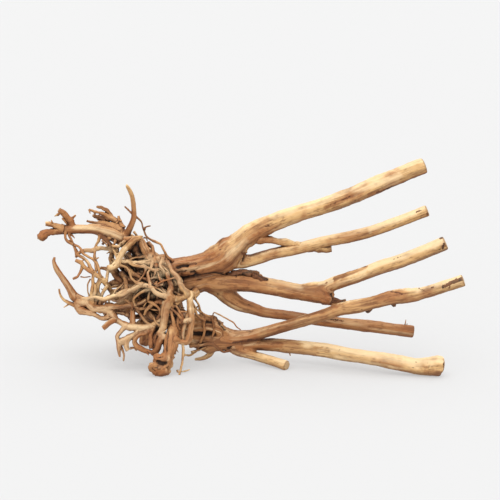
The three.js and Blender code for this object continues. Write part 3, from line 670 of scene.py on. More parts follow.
@dataclass(frozen=True)
class Spurs:
    """The rule for the short broken rootlets that stand out of the roots like thorns."""

    seed: int = 501
    count: int = 90
    shortest: float = 4
    longest: float = 12
    radius: float = 1.25
    foot: float = 1.3  # how much wider its foot is
    tip: float = 0.6
    bend: float = 0.7  # where it bends, as a share of its length
    lean: float = 0.5

    def grow(self, hosts: list[Limb]) -> list[Limb]:
        """Grows the spurs out of some limbs' sides.

        Args:
            hosts: The limbs that carry them.

        Returns:
            The spurs.
        """
        draw = draws(self.seed)
        limbs = []
        for _ in range(self.count):
            host = hosts[int(next(draw) * len(hosts))]
            number = int(next(draw) * (len(host.places) - 1))
            share = next(draw)
            start, end = np.array(host.places[number]), np.array(host.places[number + 1])
            foot = start + (end - start) * share
            way = np.array([2 * next(draw) - 1 for _ in range(3)])
            along = (end - start) / np.linalg.norm(end - start)
            way = way - along * (way @ along)
            way = way / max(np.linalg.norm(way), 0.01) + along * self.lean
            girth = host.radii[number] * (1 - share) + host.radii[number + 1] * share
            reach = girth + self.shortest + (self.longest - self.shortest) * next(draw) ** 2
            tips = [foot, foot + way * reach * self.bend, foot + way * reach + along * self.lean]
            limbs.append(Limb(tuple(map(tuple, tips)), (self.radius * self.foot, self.radius, self.tip)))
        return limbs


def smooth_rows(source: Limb, step: float) -> np.ndarray:
    """Runs a smooth curve through a limb's points, with its radius carried along.

    Args:
        source: The limb.
        step: The length of a step along the curve, in mm.

    Returns:
        Rows of x, y, z and radius.
    """
    rows = np.column_stack((source.places, source.radii)).astype(float)
    padded = np.vstack((2 * rows[0] - rows[1], rows, 2 * rows[-1] - rows[-2]))
    smooth = []
    for before, start, end, after in zip(padded, padded[1:], padded[2:], padded[3:]):
        ends = ((before, start), (start, end), (end, after))
        first, middle, last = (math.sqrt(np.linalg.norm((b - a)[:3])) for a, b in ends)
        leave = (start - before) / first - (end - before) / (first + middle) + (end - start) / middle
        arrive = (end - start) / middle - (after - start) / (middle + last) + (after - end) / last
        leave, arrive = leave * middle, arrive * middle
        count = max(1, round(np.linalg.norm((end - start)[:3]) / step))
        for share in np.arange(count) / count:
            square, cube = share**2, share**3
            row = (2 * cube - 3 * square + 1) * start + (cube - 2 * square + share) * leave
            row = row + (3 * square - 2 * cube) * end + (cube - square) * arrive
            slim, stout = sorted((start[3], end[3]))
            row[3] = np.clip(row[3], LEAST_DIP * slim, MOST_BULGE * stout)
            smooth.append(row)
    smooth.append(rows[-1])
    return np.array(smooth)


@dataclass
class Measure:
    """What a course is like at some places: one row or value for each."""

    gap: np.ndarray
    out: np.ndarray
    grain: np.ndarray
    radius: np.ndarray
    cut: np.ndarray
    aside: np.ndarray
    tint: np.ndarray


@dataclass(frozen=True)
class Kink:
    """How unevenly a limb grows: it wanders, and it swells and thins."""

    share: float  # how far it wanders, as a share of its radius
    most: float = 1.7  # the farthest that it wanders, in mm
    waves: tuple[tuple[int, float, float], ...] = ((31, 16, 1.0), (41, 7, 0.6))  # seed, mm and share of each
    girth_wave: tuple[int, float, float] = (51, 11, 0.4)

    def bend(self, rows: np.ndarray) -> np.ndarray:
        """Makes a smooth course uneven.

        Args:
            rows: Rows of x, y, z and radius.

        Returns:
            The uneven rows.
        """
        steps = np.linalg.norm(np.diff(rows[:, :3], axis=0), axis=1)
        arc = np.concatenate(([0.0], np.cumsum(steps)))
        spots = np.column_stack((arc, np.full(len(arc), rows[0, 0]), np.full(len(arc), rows[0, 2])))
        size = min(self.most, self.share * rows[:, 3].mean())
        uneven = rows.copy()
        for axis in range(3):
            for seed, length, share in self.waves:
                uneven[:, axis] += share * size * Ripple(seed + axis).at(spots, (length, 1, 1))
        seed, length, share = self.girth_wave
        uneven[:, 3] *= 1 + share * self.share * Ripple(seed).at(spots, (length, 1, 1))
        return uneven


def near_box(places: np.ndarray, box: tuple[np.ndarray, np.ndarray], reach: float) -> np.ndarray:
    """Gives the numbers of the places in a box, or less than the reach outside it."""
    low, high = box
    return np.flatnonzero(((places > low - reach) & (places < high + reach)).all(axis=1))


class Course:
    """A limb's centre line in short straight steps, with a frame carried along it."""

    worn_end = 1.7  # how much blunter than a ball a worn end is
    block = 6  # how many steps are measured together
    alone = 3.0  # how many radii from its end a saw cut still counts
    tint_turns = 0.618  # how a limb's tint follows from its last place

    def __init__(self, source: Limb, step: float, across: np.ndarray, kink: float) -> None:
        """Lays out the course.

        Args:
            source: The limb.
            step: The length of a step along it, in mm.
            across: The way that the side of its frame starts out.
            kink: How far it wanders off its smooth curve, as a share of its radius.
        """
        rows = Kink(kink).bend(smooth_rows(source, step))
        self.centres, self.radii = rows[:, :3], rows[:, 3]
        self.ending, self.rim = source.ending, source.rim
        self.steps = np.diff(self.centres, axis=0)
        self.lengths = np.maximum(np.linalg.norm(self.steps, axis=1), TINY)
        self.arc = np.concatenate(([0.0], np.cumsum(self.lengths)))
        ways = self.steps / self.lengths[:, None]
        along = np.vstack((ways[:1], ways[:-1] + ways[1:], ways[-1:]))
        self.along = along / np.linalg.norm(along, axis=1)[:, None]
        self.across = np.empty_like(self.along)
        for number, way in enumerate(self.along):
            across = across - way * (across @ way)
            across = across / max(np.linalg.norm(across), TINY)
            self.across[number] = across
        self.up = np.cross(self.along, self.across)
        self.shift = np.zeros(3)
        self.tint = sum(map(abs, source.places[-1])) * self.tint_turns % 1
        self.box = self._box(slice(None))

    def frame_at(self, number: int, radius: float) -> Matrix:
        """Gives the placing of a unit circle as the course's ring at that step."""
        sides = (self.across[number] * radius, self.up[number] * radius, self.along[number])
        turned = Matrix([*map(Vector, sides)]).transposed().to_4x4()
        turned.translation = Vector(self.centres[number])
        return turned

    def measure(self, places: np.ndarray, reach: float) -> tuple[np.ndarray, Measure]:
        """Measures the course from the places that it comes near.

        Args:
            places: Rows of x, y, z.
            reach: How far outside its surface a place still counts as near.

        Returns:
            The numbers of those places, and what the course is like there.
        """
        near = near_box(places, self.box, reach)
        close = places[near]
        best, held = np.full(len(near), FAR), np.zeros(len(near))
        nearest = np.full(len(near), -1)
        for first in range(0, len(self.steps), self.block):
            part = slice(first, min(first + self.block, len(self.steps)))
            rows = near_box(close, self._box(slice(part.start, part.stop + 1)), reach)
            if len(rows):
                gap, number, share = self._nearest_step(close[rows], part)
                better = gap < best[rows]
                best[rows[better]] = gap[better]
                nearest[rows[better]] = number[better]
                held[rows[better]] = share[better]
        found = nearest >= 0
        return near[found], self._detail(close[found], nearest[found], held[found])

    def _box(self, part: slice) -> tuple[np.ndarray, np.ndarray]:
        """Gives the lowest and highest corners of a stretch of the course."""
        margin = self.radii[part].max()
        return self.centres[part].min(axis=0) - margin, self.centres[part].max(axis=0) + margin

    def _nearest_step(self, places: np.ndarray, part: slice) -> tuple[np.ndarray, np.ndarray, np.ndarray]:
        """Finds the nearest of a few steps to each place.

        Args:
            places: Rows of x, y, z.
            part: The steps to look at.

        Returns:
            How far outside the surface each place is, the step's number, and how far along the step.
        """
        steps = self.steps[part]
        arms = places[:, None, :] - self.centres[part][None]
        share = np.clip(np.einsum("nmk,mk->nm", arms, steps) / self.lengths[part] ** 2, 0, 1)
        arms -= share[:, :, None] * steps[None]
        radius = self.radii[part] + share * np.diff(self.radii)[part]
        gap = np.sqrt(np.einsum("nmk,nmk->nm", arms, arms)) - radius
        pick = np.argmin(gap, axis=1)
        rows = np.arange(len(places))
        return gap[rows, pick], part.start + pick, share[rows, pick]

    def _detail(self, places: np.ndarray, nearest: np.ndarray, held: np.ndarray) -> Measure:
        """Works out what the course is like at places whose nearest step is known.

        Args:
            places: Rows of x, y, z.
            nearest: The number of each one's nearest step.
            held: How far along that step each is, from 0 to 1.

        Returns:
            What the course is like there.
        """
        blend = held[:, None]
        arm = places - self.centres[nearest] - blend * self.steps[nearest]
        apart = np.linalg.norm(arm, axis=1)
        radius = self.radii[nearest] * (1 - held) + self.radii[nearest + 1] * held
        way = self.steps[nearest] / self.lengths[nearest][:, None]
        beyond = np.einsum("nk,nk->n", arm, way)
        flat = arm - way * beyond[:, None]
        aside = np.linalg.norm(flat, axis=1)
        last = (nearest == len(self.steps) - 1) & (held >= 1)
        worn = (nearest == 0) & (held <= 0)
        gap, out = apart - radius, arm / np.maximum(apart, TINY)[:, None]
        cut = np.full(len(places), -FAR)
        if self.ending is Ending.SAWN:
            end_way = self.along[-1]
            past = (places - self.centres[-1]) @ end_way
            cut = np.where(apart < radius * self.alone, past, -FAR)
            side, over = flat / np.maximum(aside, TINY)[:, None], aside - radius
            rim = self.rim * radius
            share = np.clip(0.5 + 0.5 * (past - over) / rim, 0, 1)
            capped = last | (cut > -radius)
            gap = np.where(capped, over + share * (past - over) + rim * share * (1 - share), gap)
            faced = share[:, None] * end_way + (1 - share[:, None]) * side
            out = np.where(capped[:, None], faced, out)
        else:
            worn |= last
        stretched = flat + way * (beyond * self.worn_end)[:, None]
        length = np.linalg.norm(stretched, axis=1)
        gap = np.where(worn, length - radius, gap)
        out = np.where(worn[:, None], stretched / np.maximum(length, TINY)[:, None], out)
        side_on, up_on = (
            np.einsum("nk,nk->n", arm, side[nearest] * (1 - blend) + side[nearest + 1] * blend)
            for side in (self.across, self.up)
        )
        grain = np.column_stack((side_on, up_on, self.arc[nearest] + held * self.lengths[nearest] + beyond))
        tint = np.full(len(places), self.tint)
        return Measure(gap, out, grain + self.shift, radius, cut, aside, tint)


class Wood:
    """Limbs melted together, with one grain that runs on from each limb into what it grows from."""

    least_melt, most_melt = 0.5, 9.0  # in mm
    grain_blend = 2.2  # how far apart two limbs' grains still blend, in mm
    reach = 12.0  # how far from a limb a place is still read, in mm
    pull_from, pull_to = -6, 30  # the gaps between which a limb's pull on the grain changes
    first_side = np.array([0.3, -1.0, 0.2])

    def __init__(
        self, limbs: list[Limb], step: float, kink: float, melt: float, grown_from: list["Wood"]
    ) -> None:
        """Lays the limbs out, each with its grain joined to the wood before it.

        Args:
            limbs: The limbs, those that others grow from first.
            step: The length of a step along them, in mm.
            kink: How far they wander off their smooth curves, as a share of the radius.
            melt: How widely two of them melt together, as a share of the thinner one's radius.
            grown_from: Other wood that they may grow from.
        """
        self.melt = melt
        self.courses = [course for other in grown_from for course in other.courses]
        earlier = len(self.courses)
        for source in limbs:
            self._add(Course(source, step, self.first_side, kink))
        self.courses = self.courses[earlier:]

    def _add(self, course: Course) -> None:
        """Adds a limb, with its grain carried on from the wood that its base is sunk in."""
        ends = course.centres[[0, -1]]
        found = self.read(ends)
        base = int(found.gap[1] < found.gap[0])
        if found.gap[base] < FAR:
            own = course.measure(ends[base : base + 1], self.reach)[1].grain[0]
            course.shift = found.grain[base] - own
        self.courses.append(course)

    def read(self, places: np.ndarray) -> Measure:
        """Measures the melted wood from some places.

        Args:
            places: Rows of x, y, z.

        Returns:
            As a course gives, for all the limbs together.
        """
        count = len(places)
        gap, radius, cut = np.full(count, FAR), np.ones(count), np.full(count, -FAR)
        out, grain, weight = np.zeros((count, 3)), np.zeros((count, 3)), np.zeros(count)
        aside, tint = np.zeros(count), np.full(count, 0.5)
        for course in self.courses:
            if not len(near_box(places, course.box, self.reach)):
                continue
            near, found = course.measure(places, self.reach)
            melt = self.melt * np.minimum(found.radius, radius[near])
            melt = np.clip(melt, self.least_melt, self.most_melt)
            melt = np.where(gap[near] >= FAR, self.least_melt, melt)
            share = np.clip(0.5 + 0.5 * (gap[near] - found.gap) / melt, 0, 1)
            gap[near] += share * (found.gap - gap[near]) - melt * share * (1 - share)
            radius[near] += share * (found.radius - radius[near])
            out[near] += share[:, None] * (found.out - out[near])
            cut[near] = np.where(share > 0.5, found.cut, cut[near])
            aside[near] = np.where(share > 0.5, found.aside, aside[near])
            tint[near] += share * (found.tint - tint[near])
            pull = np.exp(-np.clip(found.gap, self.pull_from, self.pull_to) / self.grain_blend)
            grain[near] += pull[:, None] * found.grain
            weight[near] += pull
        out /= np.maximum(np.linalg.norm(out, axis=1), TINY)[:, None]
        grain /= np.maximum(weight, TINY)[:, None]
        return Measure(gap, out, grain, radius, cut, aside, tint)


class Ripple:
    """Smooth seeded noise in space, between -1 and 1, for many places at once."""

    strides = np.array([73856093, 19349663, 83492791], np.uint64)
    mixer = np.uint64(2654435761)
    mask = np.uint64(0xFFFFFFFF)

    def __init__(self, seed: int) -> None:
        """Starts the noise from a seed."""
        self.seed = np.uint64(seed)

    def _corner(self, cells: np.ndarray) -> np.ndarray:
        """Gives the value at lattice corners, as rows of whole numbers."""
        mixed = (cells.astype(np.int64).astype(np.uint64) * self.strides) & self.mask
        value = mixed[:, 0] ^ mixed[:, 1] ^ mixed[:, 2] ^ (self.seed * self.mixer & self.mask)
        for shift in (15, 13):
            value = ((value ^ (value >> np.uint64(shift))) * self.mixer) & self.mask
        return value.astype(float) / 2**31 - 1

    def at(self, places: np.ndarray, size: tuple[float, float, float]) -> np.ndarray:
        """Reads the noise.

        Args:
            places: Rows of three coordinates.
            size: How long a wave is along each of them.

        Returns:
            A value for each place.
        """
        spots = places / np.array(size)
        cells = np.floor(spots)
        share = spots - cells
        share = share * share * (3 - 2 * share)
        total = np.zeros(len(places))
        for corner in np.ndindex(2, 2, 2):
            side = np.array(corner)
            weight = np.where(side, share, 1 - share).prod(axis=1)
            total += weight * self._corner(cells + side)
        return total


def rippled(places: np.ndarray, seed: int, waves: Waves) -> np.ndarray:
    """Adds up noise of several sizes.

    Args:
        places: Rows of three coordinates, of which the last may be along the grain.
        seed: The first one's seed, which goes up by one for each.
        waves: The noises' sizes and shares.

    Returns:
        A value for each place.
    """
    return sum(
        share * Ripple(seed + order).at(places, (size, size, length))
        for order, (size, length, share) in enumerate(waves)
    )


@dataclass(frozen=True)
class Mark:
    """A listed mark on the wood, along a line as the front view shows it."""

    sort: Sort
    width: float
    line: tuple[tuple[float, float], ...]
    depth: float = 0.0  # how far it raises the surface, in mm
    full: float = 1.0  # its cover in the middle
    nearest: float = -FAR
    farthest: float = FAR
    all_round: bool = False
    ragged: float = 0.6
    soft: float = 1.5  # how far inside its edge it is still soft

    def cover(
        self, across: np.ndarray, up: np.ndarray, back: np.ndarray, facing: np.ndarray, fray: np.ndarray
    ) -> np.ndarray:
        """Tells how fully the mark covers some places, from 0 to 1.

        Args:
            across: How far to the right each appears.
            up: How far up each appears.
            back: How far back each lies.
            facing: How far each looks to the front, from 0 to 1.
            fray: Noise that makes the mark's edge ragged.

        Returns:
            The cover, soft at the mark's edge.
        """
        spots = np.column_stack((across, up))
        line = np.array(self.line, float)
        apart = np.full(len(spots), FAR)
        for start, end in zip(line, line[1:] if len(line) > 1 else line):
            step = end - start
            share = np.clip((spots - start) @ step / max(step @ step, TINY), 0, 1)
            apart = np.minimum(apart, np.linalg.norm(spots - start - share[:, None] * step, axis=1))
        cover = np.clip(self.soft - apart * (1 + self.ragged * fray) / (self.width / 2), 0, 1)
        cover = self.full * cover * cover * (3 - 2 * cover)
        seen = 1 if self.all_round else facing
        return cover * seen * ((back > self.nearest) & (back < self.farthest))


@dataclass
class Growth:
    """A piece of the stump's wood: the limbs in it, and how finely it is made.

    Its kink, melt, lump, ridge and flare are shares of a limb's radius.
    """

    name: str
    limbs: list[Limb]
    voxel: float  # the size of the remesh that melts its tubes together, or 0 for bare tubes
    step: float  # the distance between a tube's rings
    sides: int  # how many sides a tube has
    swell: float  # how much fuller than its limbs it is, in mm
    kink: float  # how far its limbs wander
    melt: float  # how widely its limbs melt together
    lump: float  # the depth of its lumps
    ridge: float  # the depth of its ridges along the grain
    flare: float  # how much wider it is where it leaves other wood
    vary: float  # how much its limbs differ in colour, from 0 to 1
    marks: tuple[Mark, ...] = ()
    most_ridge: float = 2.0
    tip_rings: tuple[float, ...] = (0.7, 0.35)  # the rings past a bare tube's end, as shares of its radius
    longest_move: float = 4.0  # how far one move onto the true surface may go, in mm
    cut_edge: float = 1.5  # how far behind a saw cut its face starts, in mm
    cut_swell: float = 2.0
    flare_reach: float = 0.8
    groove_share: float = 0.4
    facing_level: float = 0.6
    facing_rise: float = 2.0
    lump_seed: int = 11
    ridge_seed: int = 21
    fray_seed: int = 61
    crumb_seed: int = 63
    lump_waves: Waves = ((26, 26, 1.0), (11, 11, 0.7), (5, 5, 0.55))
    ridge_waves: Waves = ((10, 120, 1.0), (5, 70, 0.6), (3.2, 40, 0.4))
    fray_waves: Waves = ((5, 14, 1.0),)
    fine_fray_waves: Waves = ((3.5, 3.5, 0.5),)
    crumb_waves: Waves = ((6, 6, 1.0), (3.2, 3.2, 0.7))
    wood: Wood = field(init=False)

    def build(self, others: list[Wood]) -> Object:
        """Makes the piece.

        Args:
            others: The wood that it grows from, already made.

        Returns:
            The finished piece, with its attributes for the finish.
        """
        self.wood = Wood(self.limbs, self.step, self.kink, self.melt, others)
        mesh = self._tubes()
        if self.voxel:
            mesh = self._melted(mesh)
        piece = bpy.data.objects.new(self.name, mesh)
        bpy.context.scene.collection.objects.link(piece)
        self._shape(mesh, others)
        return piece

    def _tubes(self) -> Mesh:
        """Grows a closed tube along each limb, in mm."""
        mesh = bpy.data.meshes.new(self.name)
        shell = bmesh.new()
        for course in self.wood.courses:
            part = bmesh.new()
            self._tube(part, course)
            scrap = bpy.data.meshes.new("tube")
            part.to_mesh(scrap)
            part.free()
            shell.from_mesh(scrap)
            bpy.data.meshes.remove(scrap)
        shell.to_mesh(mesh)
        shell.free()
        return mesh

    def _tube(self, part: bmesh.types.BMesh, course: Course) -> None:
        """Grows one closed tube: a circle, pushed on from ring to ring, with both ends filled."""
        circle = bmesh.ops.create_circle(part, segments=self.sides, radius=1)["verts"]
        rings = [(number, radius) for number, radius in enumerate(course.radii)]
        if not self.voxel and course.ending is Ending.WORN:
            rings += [(len(course.radii) - 1, course.radii[-1] * share) for share in self.tip_rings]
        placed = course.frame_at(*rings[0])
        bmesh.ops.transform(part, matrix=placed, verts=circle)
        bmesh.ops.contextual_create(part, geom=circle)
        rim = [edge for edge in part.edges]
        for order, (number, radius) in enumerate(rings[1:], 1):
            grown = bmesh.ops.extrude_edge_only(part, edges=rim)["geom"]
            corners = [item for item in grown if isinstance(item, bmesh.types.BMVert)]
            fresh = set(corners)
            rim = [e for e in grown if isinstance(e, bmesh.types.BMEdge) and fresh.issuperset(e.verts)]
            target = course.frame_at(number, radius)
            beyond = order - (len(course.radii) - 1)
            if beyond > 0:
                push = course.radii[-1] * math.sqrt(1 - self.tip_rings[beyond - 1] ** 2) / course.worn_end
                target.translation += Vector(course.along[-1] * push)
            bmesh.ops.transform(part, matrix=target @ placed.inverted(), verts=corners)
            placed = target
        bmesh.ops.contextual_create(part, geom=corners)
        bmesh.ops.recalc_face_normals(part, faces=part.faces)

    def _melted(self, mesh: Mesh) -> Mesh:
        """Joins the tubes into closed skins of even faces."""
        tubes = bpy.data.objects.new("rough", mesh)
        bpy.context.scene.collection.objects.link(tubes)
        remesh = tubes.modifiers.new("melt", "REMESH")
        remesh.mode = "VOXEL"
        remesh.voxel_size = self.voxel
        graph = bpy.context.evaluated_depsgraph_get()
        melted = bpy.data.meshes.new_from_object(tubes.evaluated_get(graph))
        bpy.data.objects.remove(tubes)
        bpy.data.meshes.remove(mesh)
        melted.name = self.name
        return melted

    def _shape(self, mesh: Mesh, others: list[Wood]) -> None:
        """Moves the skin to the wood's true surface, works its ridges and hollows, and notes them on it.

        Args:
            mesh: The skin, in mm. It ends up in metres.
            others: The wood that this grows from.
        """
        places = read_rows(mesh.vertices, "co")
        if self.voxel:
            places = relaxed(mesh, self._settled(places, 2))
            places = self._settled(places, 1)
        found = self.wood.read(places)
        girth = found.radius
        sawn_face = np.clip(self.cut_edge + found.cut, 0, 1)
        lumps = rippled(places, self.lump_seed, self.lump_waves)
        ridges = rippled(found.grain, self.ridge_seed, self.ridge_waves)
        push = self.swell + self.lump * girth * lumps
        push = push + np.minimum(self.ridge * girth, self.most_ridge) * ridges
        push = (1 - sawn_face) * push + sawn_face * self.swell * self.cut_swell
        for other in others:
            apart = np.maximum(other.read(places).gap, 0)
            push += self.flare * girth * np.exp(-apart / (self.flare_reach * girth)) * (apart < FAR)
        across, up = VIEW.appear(places)
        back = places[:, 1] + VIEW.middle_back
        facing = np.clip(self.facing_level - found.out[:, 1] * self.facing_rise, 0, 1)
        fray = rippled(found.grain, self.fray_seed, self.fray_waves)
        fray = fray + rippled(places, self.fray_seed + 1, self.fine_fray_waves)
        crumb = rippled(places, self.crumb_seed, self.crumb_waves)
        covers = {sort: np.zeros(len(places)) for sort in Sort}
        for spot in self.marks:
            cover = spot.cover(across, up, back, facing, fray)
            covers[spot.sort] = np.maximum(covers[spot.sort], cover)
            push += spot.depth * cover * (crumb if spot.sort is Sort.ROUGH else 1)
        places = places + found.out * push[:, None]
        places[:, 2] = np.maximum(places[:, 2], 0)
        mesh.vertices.foreach_set("co", (places * MM).astype(np.float32).ravel())
        mesh.update()
        mesh.shade_smooth()
        write_values(mesh, "cut", sawn_face)
        write_values(mesh, "ring", found.aside * MM)
        write_values(mesh, "girth", girth * MM)
        write_values(mesh, "tint", 0.5 + self.vary * (found.tint - 0.5))
        # lower in the grooves between ridges and in dents, where the finish paints shade
        grooved = 0.5 - self.groove_share * ridges - self.lump * lumps
        write_values(mesh, "painted_groove_shade", np.clip(grooved, 0, 1))
        # the highlight marks are stored as painted highlights, and the marks of hollows as painted shade
        for sort in (Sort.BARK, Sort.STAIN, Sort.PAINTED_HIGHLIGHT, Sort.SHADED_HOLLOW):
            write_values(mesh, sort.value, covers[sort])
        write_values(mesh, "grain", found.grain * MM)
        # how far each place faces up, for a painted highlight on top and painted shade underneath
        upward = read_rows(mesh.vertex_normals, "vector")[:, 2]
        write_values(mesh, "painted_light_from_above", relaxed(mesh, upward * 0.5 + 0.5))

    def _settled(self, places: np.ndarray, times: int) -> np.ndarray:
        """Moves places to the wood's surface, in a few short moves."""
        for _ in range(times):
            found = self.wood.read(places)
            shift = np.clip(found.gap, -self.longest_move, self.longest_move) * (found.gap < FAR)
            places = places - found.out * shift[:, None]
        return places


def read_rows(items: bpy.types.bpy_prop_collection, name: str) -> np.ndarray:
    """Reads three numbers of each item of a mesh, as rows of x, y, z."""
    flat = np.empty(len(items) * 3, np.float32)
    items.foreach_get(name, flat)
    return flat.reshape(-1, 3).astype(float)


def write_values(mesh: Mesh, name: str, values: np.ndarray) -> None:
    """Stores a value or a row of three for each vertex under a name that a finish can read."""
    kind, field_name = ("FLOAT", "value") if values.ndim == 1 else ("FLOAT_VECTOR", "vector")
    attribute = mesh.attributes.new(name, kind, "POINT")
    attribute.data.foreach_set(field_name, values.astype(np.float32).ravel())


def relaxed(mesh: Mesh, values: np.ndarray, share: float = 0.6) -> np.ndarray:
    """Evens values out between neighbours on a mesh.

    Args:
        mesh: The mesh whose edges say what is next to what.
        values: A value or a row for each vertex.
        share: How far each moves towards its neighbours' mean.

    Returns:
        The evened values.
    """
    flat = np.empty(len(mesh.edges) * 2, np.int32)
    mesh.edges.foreach_get("vertices", flat)
    ends = flat.reshape(-1, 2)
    count = np.bincount(ends.ravel(), minlength=len(values)).astype(float)
    table = values.reshape(len(values), -1)
    mean = np.empty_like(table)
    for column in range(table.shape[1]):
        total = np.bincount(ends[:, 0], table[ends[:, 1], column], len(values))
        total += np.bincount(ends[:, 1], table[ends[:, 0], column], len(values))
        mean[:, column] = total / np.maximum(count, 1)
    return (table + share * (mean - table)).reshape(values.shape)


def mark(sort: Sort, width: float, *line: tuple[float, float], **more: float) -> Mark:
    """Makes a mark of a sort, from its width and the places along it as across and up."""
    return Mark(sort, width, line, **more)


# the highlight marks paint highlights onto the wood's colour; the marks of hollows carve them and paint shade
# in them
bark, stain, shaded_hollow, painted_highlight, bump = (
    partial(mark, sort) for sort in (Sort.BARK, Sort.STAIN, Sort.SHADED_HOLLOW, Sort.PAINTED_HIGHLIGHT, Sort.BUMP)
)
rough = partial(mark, Sort.ROUGH, all_round=True)
tone = partial(mark, Sort.STAIN, all_round=True, ragged=0.2)

# Redder and browner parts of the wood, on every piece.
TONES = (
    tone(70, (-190, 176), (-140, 182), (-60, 190), full=0.9),
    tone(44, (-60, 190), (-20, 212), (20, 250), full=0.6),
    tone(40, (-120, 155), (-40, 158), (20, 150), full=0.7),
    tone(36, (20, 150), (160, 128), full=0.5),
    tone(26, (-60, 38), (60, 66), (150, 92), (300, 128), full=0.45, ragged=0.3, farthest=-16),
    tone(34, (-40, 128), (60, 92), (326, 57), full=0.75, nearest=-20, ragged=0.3),
    tone(70, (-120, 60), (-60, 60), (-10, 46), full=0.8),
    tone(50, (-10, 40), (80, 30), full=0.45),
    tone(60, (-170, 160), (-210, 200), (-240, 232), full=0.4),
    tone(80, (-180, 110), (-240, 96), full=0.45),
    tone(24, (-400, 262), (-420, 246), full=0.95, ragged=0.6),
    tone(30, (-260, 240), (-320, 256), (-400, 258), full=0.5, ragged=0.6),
    tone(64, (-178, -8), (-172, 14), full=0.35),
    tone(110, (-220, 180), (-170, 110), full=0.35),
    tone(26, (-390, 205), (-368, 154), (-344, 120), full=0.95, ragged=0.6),
    tone(54, (-340, 100), (-250, 94), full=0.85, ragged=0.6),
    tone(22, (-246, 244), (-240, 280), (-236, 292), full=0.85, ragged=0.6),
    tone(22, (-126, 120), (-120, 60), full=0.35, ragged=0.6),
    tone(40, (-250, 46), (-236, 20), full=0.6, ragged=0.6),
    tone(26, (-372, 294), (-360, 272), full=0.9, ragged=0.6),
    tone(60, (-310, 292), (-262, 266), full=0.6, ragged=0.6),
    tone(56, (-270, 56), (-262, 8), full=1),
    tone(90, (-262, 50), (-240, 34), (-206, 30), full=0.75),
    tone(60, (-360, 250), (-340, 220), (-310, 190), full=0.45, ragged=0.3),
    tone(26, (-300, 60), (-268, 84), full=1, ragged=0.3),
    tone(24, (-352, 205), (-345, 165), full=0.7, ragged=0.3),
)

